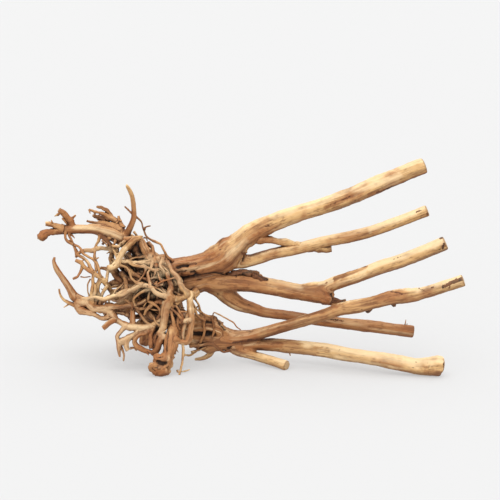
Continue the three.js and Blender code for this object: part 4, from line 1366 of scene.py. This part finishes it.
# Marks on the thick wood.
MARKS = (
    # the trunk: its seams, the knob with its step, the smooth elbow, and the cleft and cavities
    stain(6, (-150, 194), (-110, 200), (-70, 214), full=1),
    bump(3, (-128, 197), (-96, 201), (-70, 209), depth=-1.4),
    bump(3, (-84, 180), (-52, 194), (-40, 210), depth=-1.4),
    bump(3, (-118, 146), (-86, 157), (-60, 160), depth=-1.4),
    shaded_hollow(3, (-64, 224), (-61, 235), (-56, 243), depth=-1.6, full=0.5),
    bump(16, (-50, 238), depth=2),
    bump(12, (-3, 222), depth=-4),
    stain(16, (-60, 228), (-48, 246), full=0.9),
    painted_highlight(26, (-40, 214), (-12, 232), full=0.5),
    shaded_hollow(7, (-141, 162), (-122, 165), (-100, 169), depth=-9),
    shaded_hollow(3, (-100, 169), (-70, 174), (-40, 173), depth=-2.2, full=0.9),
    shaded_hollow(7, (-145, 185), (-137, 189), (-126, 190), depth=-7),
    bark(4, (-126, 190), (-108, 194), full=0.8, depth=-1),
    bark(3, (-150, 176), (-126, 179), full=0.7, depth=-1),
    shaded_hollow(5, (-120, 176), (-112, 177), depth=-4),
    shaded_hollow(4.4, (-15, 198), (-12, 208), depth=-4, full=0.8),
    # the top stem
    bark(2, (155, 309), (172, 316), full=0.6),
    bark(2.4, (184, 321), (200, 328), depth=-0.8),
    stain(8, (150, 306), (176, 317), (202, 329), full=0.7),
    bark(2.2, (250, 335), (300, 354), (352, 374), full=0.7),
    stain(7, (236, 331), (300, 354), (356, 375), full=0.8),
    bark(3.5, (28, 267), (38, 270), full=0.7),
    bark(3, (45, 258), full=0.7),
    stain(5, (5, 251), (20, 255), full=0.9),
    painted_highlight(20, (210, 345), (250, 352), (290, 362), full=0.9),
    painted_highlight(12, (60, 288), (110, 304), full=0.6),
    bark(5, (354, 374), (357, 378)),
    bump(12, (215, 326), depth=0.8),
    # the second stem, with the twig under it
    bark(4.5, (-14, 212), (20, 221), (42, 226), (65, 232), depth=-1),
    stain(9, (-14, 210), (30, 222), (90, 235), full=0.9),
    bark(3, (333, 297), (342, 300), full=0.9),
    bark(2.5, (338, 303), full=0.8),
    bark(4, (354, 292), (356, 297)),
    bark(3, (163, 215), (164, 221), (163, 228), full=0.9),
    painted_highlight(10, (240, 262), (330, 293), full=0.7),
    # the fork's lower line, knot, stub and bark slivers
    stain(9, (-30, 142), (20, 138), (70, 132), (120, 124), full=0.9),
    bark(2.6, (-26, 141), (10, 138), (56, 132), full=0.7),
    painted_highlight(12, (40, 156), (100, 147), full=0.5),
    stain(24, (158, 128), (160, 114), full=0.9),
    shaded_hollow(4, (163, 134), (166, 122), (160, 112), depth=-3, full=0.8),
    bump(12, (154, 118), depth=3),
    bark(4, (-28, 167)),
    # the third stem
    bark(2.2, (287, 203), (288, 203)),
    bark(2.2, (295, 206)),
    bark(2.2, (301, 208)),
    bark(2.2, (367, 214)),
    bark(4, (380, 244), (386, 246)),
    bark(4.5, (384, 227), (388, 233)),
    bark(2, (196, 176), (216, 183), full=0.7),
    bark(2, (222, 185), (232, 188), full=0.7),
    stain(9, (170, 164), (232, 187), full=0.5),
    stain(12, (176, 144), (230, 162), (300, 184), full=0.5),
    painted_highlight(12, (340, 220), (384, 238), full=0.9),
    # the long stem that crosses
    bark(3, (280, 138), (292, 136), (304, 133), depth=-1.4),
    bump(12, (318, 141), (330, 145), depth=2),
    bark(3.4, (300, 143), (318, 149), (332, 149), (338, 144), depth=0.8),
    bark(3, (340, 143), (348, 140)),
    bark(2.6, (362, 145), (366, 146)),
    bark(8, (386, 148), (404, 156), (422, 163), full=0.85),
    rough(20, (308, 140), (334, 140), depth=0.8),
    # the stem behind it
    bark(5, (135, 84), (160, 82), (186, 79), full=0.6, nearest=-20),
    bark(2.6, (284, 69), nearest=-20),
    # the lowest stem, with the stub in front of it
    bark(5, (-35, 36), (20, 43), (80, 45), full=0.9, farthest=0),
    stain(14, (10, 26), (36, 28), (60, 32), full=0.9),
    stain(16, (60, 20), (130, 14), full=0.4),
    painted_highlight(22, (180, 14), (250, 4), (330, -8), full=0.75),
    bark(2, (176, 18), (180, 22), full=0.6),
    bark(2, (197, 12), (199, 20), full=0.5),
    bump(10, (300, 6), depth=2.2),
    bark(5, (386, -28), (389, -18), (388, -6)),
    bark(3, (354, -2), (358, -14), (356, -26), full=0.5, depth=-0.8),
    bark(3.5, (378, -30), (386, -31)),
    stain(12, (352, -22), (376, -26), full=0.6),
    stain(10, (80, -8), (78, -16), full=0.9),
    # the low crown
    rough(44, (-104, 66), (-60, 70), depth=1.6),
    shaded_hollow(8, (-112, 52), (-92, 53), (-74, 52), depth=-7),
    shaded_hollow(5, (-90, 76), (-78, 76), depth=-4),
    shaded_hollow(4, (-66, 84), (-60, 70), (-50, 62), depth=-2.4, full=0.8),
    shaded_hollow(3.4, (-30, 62), (0, 58), depth=-1.4, full=0.6),
    bump(12, (-70, 86), depth=4),
    bump(9, (-54, 76), depth=3),
    shaded_hollow(5, (-44, 24), (-34, 28), depth=-2),
    # the crown and the arm
    shaded_hollow(26, (-222, 130), (-212, 132), depth=-5, full=0.9),
    shaded_hollow(9, (-228, 221), (-226, 212), depth=-6),
    shaded_hollow(7, (-204, 226), (-202, 218), depth=-5),
    stain(16, (-250, 232), (-290, 246), (-320, 254), (-384, 254), full=1),
    bark(3, (-256, 236), (-280, 243), (-300, 250), full=0.7, depth=-1),
    bark(3, (-330, 256), (-352, 254), (-384, 256), full=0.7),
    rough(22, (-404, 256), (-420, 246), depth=1.6),
    painted_highlight(12, (-262, 250), (-300, 264), (-350, 267), full=0.8),
    bump(7, (-320, 270), (-302, 269), depth=3.4),
    shaded_hollow(4, (-398, 265), (-384, 264), depth=-3),
    # the club foot
    rough(56, (-184, -8), (-170, -8), depth=2.8),
    shaded_hollow(9, (-184, -4), (-175, -8), depth=-6),
    shaded_hollow(2.6, (-163, 58), (-166, 32), (-168, 16), depth=-1.8, full=0.7),
    shaded_hollow(2.6, (-176, -18), (-165, -15), (-161, -4), depth=-2, full=0.7),
    shaded_hollow(3, (-190, -14), (-180, -18), depth=-2, full=0.8),
    shaded_hollow(3, (-184, 6), (-174, 8), depth=-2, full=0.8),
    shaded_hollow(3, (-197, -18), (-191, -21), depth=-2.5, full=0.7),
    shaded_hollow(3, (-166, -14), (-162, -20), depth=-2, full=0.6),
    stain(20, (-186, -26), (-168, -26), full=1),
    painted_highlight(10, (-160, 8), (-156, -8), (-164, -20), full=0.7),
)


# Marks on the roots.
ROOT_MARKS = (
    bark(18, (-48, 173), (-10, 177), (22, 176)),
    rough(18, (-48, 173), (22, 176), depth=1.6),
    bark(14, (4, 169), (36, 162), full=0.9),
    rough(14, (4, 169), (36, 162), depth=1.4),
    bark(16, (160, 120), (192, 118), full=0.95),
    bark(15, (296, 122), (287, 106)),
    bark(13, (240, 104), (231, 94)),
    stain(12, (-30, 25), (-39, 22), full=0.5),
    rough(14, (-24, 28), (-39, 22), depth=1.4),
    rough(26, (-372, 292), (-356, 268), depth=1.1),
    rough(50, (-300, 292), (-262, 270), depth=0.9),
    # painted highlights on the tops of the roots
    painted_highlight(16, (-254, 222), (-262, 205), (-278, 185), full=0.9),
    painted_highlight(16, (-330, 126), (-260, 131), (-215, 149), (-170, 130), full=0.6),
    painted_highlight(14, (-168, 112), (-171, 83), (-176, 50), full=0.9),
    painted_highlight(7, (-122, 108), (-130, 74), (-135, 36), (-138, -20), full=0.9),
    painted_highlight(30, (-204, 196), (-176, 180), full=0.5),
    painted_highlight(10, (-330, 219), (-300, 225), (-280, 221), full=0.7),
    painted_highlight(14, (-170, 192), (-140, 152), (-128, 134), full=0.5),
    painted_highlight(8, (-120, 60), (-124, 38), (-150, 38), full=0.6),
    painted_highlight(9, (-200, 68), (-222, 66), (-240, 68), full=0.6),
    painted_highlight(12, (-121, 118), (-118, 80), (-119, 50), full=0.6),
)


@dataclass(frozen=True)
class PaintedShade:
    """How much of the open air each place on the wood misses, because other wood is in the way.

    Dirt and old bark stay in such places, so the finish darkens there.
    """

    reach: float = 60.0  # how far it looks, in mm
    lift: float = 0.6  # how far off the wood it starts to look, in mm
    lean: float = 0.85
    turns: int = 5
    first_turn: float = 0.1
    fade: float = 0.5  # how much less wood counts at the end of its reach
    aside: Place = (0.31, 0.87, 0.38)
    evenings: int = 2

    def note(self, pieces: list[Object]) -> None:
        """Stores how far other wood closes in each vertex on the pieces, for the painted shade.

        Args:
            pieces: All the wood, each piece's vertices in metres.
        """
        corners, faces = [], []
        for piece in pieces:
            mesh = piece.data
            mesh.calc_loop_triangles()
            flat = np.empty(len(mesh.loop_triangles) * 3, np.int32)
            mesh.loop_triangles.foreach_get("vertices", flat)
            faces.append(flat.reshape(-1, 3) + sum(len(rows) for rows in corners))
            corners.append(read_rows(mesh.vertices, "co"))
        tree = BVHTree.FromPolygons(
            np.vstack(corners).tolist(), np.vstack(faces).tolist(), all_triangles=True
        )
        for piece, places in zip(pieces, corners):
            crevice_shade = self._hits(tree, read_rows(piece.data.vertex_normals, "vector"), places)
            for _ in range(self.evenings):
                crevice_shade = relaxed(piece.data, crevice_shade)
            write_values(piece.data, "crevice_shade", crevice_shade)

    def _hits(self, tree: BVHTree, normals: np.ndarray, places: np.ndarray) -> np.ndarray:
        """Gives the share of a few ways out of each vertex that meet wood, more for near wood.

        Args:
            tree: All the wood.
            normals: The way out at each vertex.
            places: The vertices.

        Returns:
            The share for each vertex.
        """
        side = np.cross(normals, self.aside)
        side /= np.linalg.norm(side, axis=1)[:, None]
        other = np.cross(normals, side)
        starts = (places + normals * self.lift * MM).tolist()
        reach, cast = self.reach * MM, tree.ray_cast
        turns = self.first_turn + 2 * math.pi * np.arange(self.turns) / self.turns
        steep = math.tan(self.lean)
        leans = (math.cos(turn) * side + math.sin(turn) * other for turn in turns)
        ways = [normals, *(normals + steep * way for way in leans)]
        total = np.zeros(len(places))
        for way in ways:
            hits = (cast(start, line, reach)[3] for start, line in zip(starts, way.tolist()))
            total += np.array([0.0 if hit is None else 1 - self.fade * hit / reach for hit in hits])
        return total / len(ways)


def linear(code: str) -> tuple[float, float, float, float]:
    """Turns an sRGB hex colour into a linear one with full alpha.

    Args:
        code: Six hex digits.

    Returns:
        Red, green, blue and alpha.
    """
    parts = [int(code[at : at + 2], 16) / 255 for at in (0, 2, 4)]
    return (*(part / 12.92 if part <= 0.04045 else ((part + 0.055) / 1.055) ** 2.4 for part in parts), 1.0)


def add_node(
    tree: NodeTree,
    kind: str,
    settings: dict[str, object] | None = None,
    values: dict[str | int, object] | None = None,
    links: dict[str | int, NodeSocket] | None = None,
) -> bpy.types.Node:
    """Adds a node with its settings, its inputs' values and its links.

    Args:
        tree: The tree that it goes in.
        kind: The node's type name.
        settings: Properties of the node.
        values: What inputs hold, by name or number.
        links: The sockets that inputs read, by name or number.

    Returns:
        The new node.
    """
    new = tree.nodes.new(kind)
    for name, value in (settings or {}).items():
        setattr(new, name, value)
    for name, value in (values or {}).items():
        new.inputs[name].default_value = value
    for name, socket in (links or {}).items():
        tree.links.new(socket, new.inputs[name])
    return new


@dataclass(frozen=True)
class Layer:
    """A colour over the ones before it, as far as some values say.

    The colour is a hex code or a mixed colour's name. Each value has its name and the levels at which it
    starts and is full, or its name alone.
    """

    colour: str
    most: float
    values: tuple[tuple[str, float, float] | tuple[str], ...]


@dataclass(frozen=True)
class Painter:
    """Works in a finish's tree with the values there, by name."""

    tree: NodeTree
    values: dict[str, NodeSocket]

    def blend(self, first: str, shares: dict[str, float]) -> NodeSocket:
        """Adds shares of some values to a first one.

        Args:
            first: The first value's name.
            shares: How much of each other value is added.

        Returns:
            The total.
        """
        total = self.values[first]
        for name, share in shares.items():
            links = {0: self.values[name], 2: total}
            added = add_node(self.tree, "ShaderNodeMath", {"operation": "MULTIPLY_ADD"}, {1: share}, links)
            total = added.outputs[0]
        return total

    def cover(self, layer: Layer) -> NodeSocket:
        """Works out how much of a layer's colour covers, from 0 to 1."""
        cover = None
        for name, *levels in layer.values:
            value = self.values[name]
            if levels:
                ends = {"From Min": levels[0], "From Max": levels[1]}
                smooth = {"interpolation_type": "SMOOTHSTEP"}
                rise = add_node(self.tree, "ShaderNodeMapRange", smooth, ends, {"Value": value})
                value = rise.outputs["Result"]
            most = {1: layer.most} if cover is None else {}
            links = {0: value} if cover is None else {0: value, 1: cover}
            cover = add_node(self.tree, "ShaderNodeMath", {"operation": "MULTIPLY"}, most, links).outputs[0]
        return cover

    def paint(self, base: str, layers: tuple[Layer, ...]) -> NodeSocket:
        """Lays layers of colour over a first colour.

        Args:
            base: The first colour's hex code.
            layers: The layers, from the lowest.

        Returns:
            The colour that they make.
        """
        under: NodeSocket | str = base
        for layer in layers:
            mix = add_node(self.tree, "ShaderNodeMix", {"data_type": "RGBA"}, None, {0: self.cover(layer)})
            for number, colour in ((6, under), (7, self.values.get(layer.colour, layer.colour))):
                if isinstance(colour, str):
                    mix.inputs[number].default_value = linear(colour)
                else:
                    self.tree.links.new(colour, mix.inputs[number])
            under = mix.outputs[2]
        return under


@dataclass(frozen=True)
class Noise:
    """Noise in the finish."""

    name: str
    size: float  # in mm, across the grain
    detail: int = 2
    stretch: float = 1.0  # how much longer it is along the grain
    on_grain: bool = True


@dataclass(frozen=True)
class PeeledWood:
    """Peeled, weathered hardwood: dry and matt, with a painted highlight on top and painted shade underneath,
    in its hollows and where other wood closes it in.

    Streaks and fine splits follow the grain, pin knots dot it, and old bark clings in dark scraps. The real
    wood's fibres are finer, so they are drawn as coarse as they need to show.
    """

    golden: str = "CFA670"
    cream: str = "EACDA0"
    tan: str = "AE7D50"
    brown: str = "6A3F25"
    dark: str = "190B05"
    old_bark: str = "2B1A12"
    rust: str = "985D32"
    sawn: str = "BFA27A"
    roughness: tuple[float, float] = (0.55, 0.78)
    roughness_levels: tuple[float, float] = (0.35, 0.65)  # of the specks that it follows
    specular: float = 0.3
    bump_strength: float = 0.8
    bump_mm: float = 1.3
    noise_roughness: float = 0.55
    knot_mm: float = 13.0
    knot_squash: float = 0.5
    ring_mm: float = 1.6
    ring_wobble_mm: float = 2.4
    attributes: tuple[str, ...] = (
        "stain", "painted_highlight", "bark", "shaded_hollow", "painted_groove_shade", "tint", "crevice_shade", "painted_light_from_above", "cut", "ring", "girth",
    )
    noises: tuple[Noise, ...] = (
        Noise("patch", 60.0, detail=3, on_grain=False),
        Noise("vein", 7.0, detail=3, stretch=20.0),
        Noise("streak", 11.0, stretch=20.0),
        Noise("fibre", 2.4, stretch=20.0),
        Noise("mottle", 4.5, stretch=3.0),
        Noise("speck", 3.0, on_grain=False),
        Noise("wobble", 9.0, on_grain=False),
    )
    layers: tuple[Layer, ...] = (
        Layer(golden, 1.0, (("patch", 0.38, 0.56),)),
        Layer(rust, 0.95, (("stain",),)),
        Layer(brown, 0.4, (("tint", 0.4, 0.0),)),
        Layer(cream, 0.55, (("streak", 0.5, 0.75),)),
        # painted shade in grooves and dents
        Layer(brown, 0.72, (("painted_groove_shade", 0.52, 0.85),)),
        Layer(brown, 0.75, (("vein", 0.47, 0.34), ("stain", -1.0, 1.0))),
        Layer(brown, 0.55, (("mottle", 0.47, 0.3),)),
        Layer(brown, 0.5, (("fibre", 0.47, 0.3),)),
        # a painted highlight on faces that look up, less where stained; then painted shade on faces that look
        # down
        Layer(cream, 0.76, (("bleached", 1.42, 1.8),)),
        Layer(brown, 0.66, (("painted_light_from_above", 0.42, 0.05),)),
        # painted shade where other wood closes the wood in: browner, then near black
        Layer(brown, 0.72, (("crevice_shade", 0.16, 0.56),)),
        Layer(dark, 0.92, (("crevice_shade", 0.4, 0.77),)),
        # painted highlights from the highlight marks, along the streaks
        Layer(cream, 0.7, (("painted_highlight",), ("streak", 0.3, 0.6))),
        Layer(dark, 0.7, (("knot_apart", 0.13, 0.07), ("knot_pick", 0.8, 0.85))),
        Layer("scrap_colour", 0.92, (("scrap",),)),
        # painted shade in the carved hollows, near black
        Layer(dark, 0.92, (("shaded_hollow", 0.15, 0.9),)),
        Layer("end_colour", 0.9, (("cut",),)),
    )
    scrap: Layer = Layer("scrap_colour", 1.0, (("scrap_edge", 0.9, 1.15), ("bark", 0.0, 0.3)))
    scrap_layers: tuple[Layer, ...] = (Layer(brown, 0.9, (("mottle", 0.36, 0.54),)),)
    end_layers: tuple[Layer, ...] = (
        Layer(tan, 0.55, (("year_rings", 0.0, 1.0),)),
        Layer(brown, 0.85, (("outward", 0.74, 0.95),)),
        Layer(dark, 0.6, (("outward", 0.16, 0.04),)),
    )

    def make(self) -> Material:
        """Makes the material."""
        material = bpy.data.materials.new("peeled_weathered_wood")
        material.use_nodes = True
        tree = material.node_tree
        shader = tree.nodes["Principled BSDF"]
        painter = Painter(tree, self._values(tree))
        values = painter.values
        # painted highlight: strongest on faces that look up
        values["bleached"] = painter.blend("painted_light_from_above", {"patch": 1, "stain": -0.85, "tint": 0.6})
        values["scrap_edge"] = painter.blend("bark", {"speck": 1})
        values["scrap"] = painter.cover(self.scrap)
        values["scrap_colour"] = painter.paint(self.old_bark, self.scrap_layers)
        values["end_colour"] = painter.paint(self.sawn, self.end_layers)
        tree.links.new(painter.paint(self.tan, self.layers), shader.inputs["Base Color"])
        (low, high), (least, most) = self.roughness_levels, self.roughness
        ends = {"From Min": low, "From Max": high, "To Min": least, "To Max": most}
        rough_places = add_node(tree, "ShaderNodeMapRange", None, ends, {"Value": values["speck"]})
        tree.links.new(rough_places.outputs["Result"], shader.inputs["Roughness"])
        shader.inputs["Specular IOR Level"].default_value = self.specular
        height = painter.blend("vein", {"fibre": 0.45, "mottle": 0.6, "scrap": 0.9})
        sizes = {"Strength": self.bump_strength, "Distance": self.bump_mm * MM}
        relief = add_node(tree, "ShaderNodeBump", None, sizes, {"Height": height})
        tree.links.new(relief.outputs["Normal"], shader.inputs["Normal"])
        return material

    def _values(self, tree: NodeTree) -> dict[str, NodeSocket]:
        """Reads the wood's own attributes and draws the noise, knots and year rings.

        Args:
            tree: The material's tree.

        Returns:
            Each value's socket by its name.
        """
        read = {
            name: add_node(tree, "ShaderNodeAttribute", {"attribute_name": name}).outputs
            for name in (*self.attributes, "grain")
        }
        values = {name: read[name]["Fac"] for name in self.attributes}
        where, grain = add_node(tree, "ShaderNodeTexCoord").outputs["Object"], read["grain"]["Vector"]
        for noise in self.noises:
            source = {"Vector": grain if noise.on_grain else where}
            along = add_node(tree, "ShaderNodeMapping", None, {"Scale": (1, 1, 1 / noise.stretch)}, source)
            scale = 1 / (noise.size * MM)
            sizes = {"Scale": scale, "Detail": noise.detail, "Roughness": self.noise_roughness}
            drawn = add_node(tree, "ShaderNodeTexNoise", None, sizes, {"Vector": along.outputs["Vector"]})
            values[noise.name] = drawn.outputs["Fac"]
        squash = {"Scale": (1, 1, self.knot_squash)}
        along = add_node(tree, "ShaderNodeMapping", None, squash, {"Vector": grain}).outputs["Vector"]
        apart = {"Scale": 1 / (self.knot_mm * MM)}
        cells = add_node(tree, "ShaderNodeTexVoronoi", None, apart, {"Vector": along})
        pick = add_node(tree, "ShaderNodeSeparateColor", None, None, {0: cells.outputs["Color"]})
        values["knot_apart"], values["knot_pick"] = cells.outputs["Distance"], pick.outputs[0]
        spread = Painter(tree, values).blend("ring", {"wobble": self.ring_wobble_mm * MM})
        turn = {1: 2 * math.pi / (self.ring_mm * MM)}
        turns = add_node(tree, "ShaderNodeMath", {"operation": "MULTIPLY"}, turn, {0: spread})
        wave = add_node(tree, "ShaderNodeMath", {"operation": "SINE"}, None, {0: turns.outputs[0]})
        both = {0: values["ring"], 1: values["girth"]}
        outward = add_node(tree, "ShaderNodeMath", {"operation": "DIVIDE"}, None, both)
        values["year_rings"], values["outward"] = wave.outputs[0], outward.outputs[0]
        return values


@dataclass(frozen=True)
class Studio:
    """A plain, near-white surface under soft light, with the camera at the front view's angle."""

    surface: str = "8C8C8C"
    surface_roughness: float = 0.9
    surface_specular: float = 0.1
    glow: float = 0.435
    surface_half: float = 30.0
    lens: float = 126.0
    sensor: float = 36.0
    nudge: Place = (-0.5, 0.0, 0.8)  # what centres it on the photograph, in mm
    world: float = 0.55
    above: Place = (0.12, 0.06, 1.0)
    above_spread: float = 110
    above_power: float = 3.15
    ahead: Place = (-0.25, -1.0, 0.55)
    ahead_spread: float = 80
    ahead_power: float = 1.4

    def build(self) -> None:
        """Makes the surface, the lights and the camera."""
        mesh = bpy.data.meshes.new("surface")
        sheet = bmesh.new()
        bmesh.ops.create_grid(sheet, x_segments=1, y_segments=1, size=self.surface_half)
        sheet.to_mesh(mesh)
        sheet.free()
        floor = bpy.data.objects.new("surface", mesh)
        bpy.context.scene.collection.objects.link(floor)
        sheet_finish = bpy.data.materials.new("backlit_white_acrylic")
        sheet_finish.use_nodes = True
        shader = sheet_finish.node_tree.nodes["Principled BSDF"]
        shader.inputs["Base Color"].default_value = linear(self.surface)
        shader.inputs["Roughness"].default_value = self.surface_roughness
        shader.inputs["Specular IOR Level"].default_value = self.surface_specular
        shader.inputs["Emission Color"].default_value = (1, 1, 1, 1)
        shader.inputs["Emission Strength"].default_value = self.glow
        mesh.materials.append(sheet_finish)
        self._light("soft_light_above", self.above, self.above_spread, self.above_power)
        self._light("soft_light_front", self.ahead, self.ahead_spread, self.ahead_power)
        world = bpy.data.worlds.new("studio")
        bpy.context.scene.world = world
        world.use_nodes = True
        background = world.node_tree.nodes["Background"]
        background.inputs["Color"].default_value = (1, 1, 1, 1)
        background.inputs["Strength"].default_value = self.world
        self._camera()
        bpy.context.scene.view_settings.view_transform = "Standard"

    @staticmethod
    def _light(name: str, source: Place, spread: float, power: float) -> None:
        """Hangs a broad, far light.

        Args:
            name: The light's name.
            source: The way to it from the object.
            spread: How wide it looks from the object, in degrees.
            power: Its strength.
        """
        lamp = bpy.data.lights.new(name, "SUN")
        lamp.angle = math.radians(spread)
        lamp.energy = power
        light = bpy.data.objects.new(name, lamp)
        light.rotation_euler = Vector(source).to_track_quat("Z", "Y").to_euler()
        bpy.context.scene.collection.objects.link(light)

    def _camera(self) -> None:
        """Sets the camera up at the front view's tilt and distance."""
        lens = bpy.data.cameras.new("camera")
        lens.lens = self.lens
        lens.sensor_width = self.sensor
        camera = bpy.data.objects.new("camera", lens)
        target = Vector((-VIEW.middle_across, -VIEW.middle_back, VIEW.target_height)) + Vector(self.nudge)
        target = target * MM
        away = Vector((0, -math.cos(VIEW.tilt), math.sin(VIEW.tilt))) * VIEW.distance * MM
        camera.location = target + away
        camera.rotation_euler = (math.pi / 2 - VIEW.tilt, 0, 0)
        bpy.context.scene.collection.objects.link(camera)
        bpy.context.scene.camera = camera


def sorted_limbs(limbs: list[Limb], thinnest: float, thickest: float) -> list[Limb]:
    """Picks the limbs whose thickest radius lies between two sizes."""
    return [item for item in limbs if thinnest <= item.thickest < thickest]


def main() -> None:
    """Builds the stump's wood, dresses it, and sets the studio up round it."""
    logging.basicConfig(level=logging.INFO, format="%(name)s: %(message)s")
    Studio().build()
    roots = [
        *TWIGS, *HORNS, *CLUB_FOOT, *BACK_FEET, *BackRoots().grow(), *LEFT, *FRONT, *BETWEEN, *LOW_LEFT,
        *HANGING, *THIN,
    ]
    limbs = [*TRUNK, *STEMS, *CROWN, *LOW_CROWN, *ARM, *ROOTSTOCK, *roots, *HAIRS]
    limbs += Tangle().grow([*CROWN, *ROOTSTOCK, *roots])
    limbs += Spurs().grow([*ARM, *roots])
    thick = Growth(
        name="stump_wood", limbs=sorted_limbs(limbs, THICK_FROM, FAR), voxel=2.6, step=4.0, sides=16,
        swell=0.5, kink=0.0, melt=0.75, lump=0.045, ridge=0.09, flare=0.0, vary=0.3, marks=TONES + MARKS,
    )
    medium = Growth(
        name="stump_roots", limbs=sorted_limbs(limbs, ROOT_FROM, THICK_FROM), voxel=1.6, step=3.0, sides=12,
        swell=0.1, kink=0.42, melt=0.3, lump=0.2, ridge=0.2, flare=0.4, vary=0.8, marks=TONES + ROOT_MARKS,
    )
    fine = Growth(
        name="stump_rootlets", limbs=sorted_limbs(limbs, 0, ROOT_FROM), voxel=0.0, step=3.0, sides=8,
        swell=0.2, kink=0.65, melt=0.3, lump=0.2, ridge=0.1, flare=0.5, vary=1.0, marks=TONES + ROOT_MARKS,
    )
    pieces = [thick.build([])]
    pieces.append(medium.build([thick.wood]))
    pieces.append(fine.build([thick.wood, medium.wood]))
    # paints shade where other wood closes each piece in
    PaintedShade().note(pieces)
    finish = PeeledWood().make()
    for piece in pieces:
        piece.data.materials.clear()
        piece.data.materials.append(finish)
        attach(piece, BODY)
        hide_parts(NODE)
        triangles = sum(len(face.vertices) - 2 for face in piece.data.polygons)
        log.info("%s: %d triangles", piece.name, triangles)


if __name__ == "__main__":
    main()
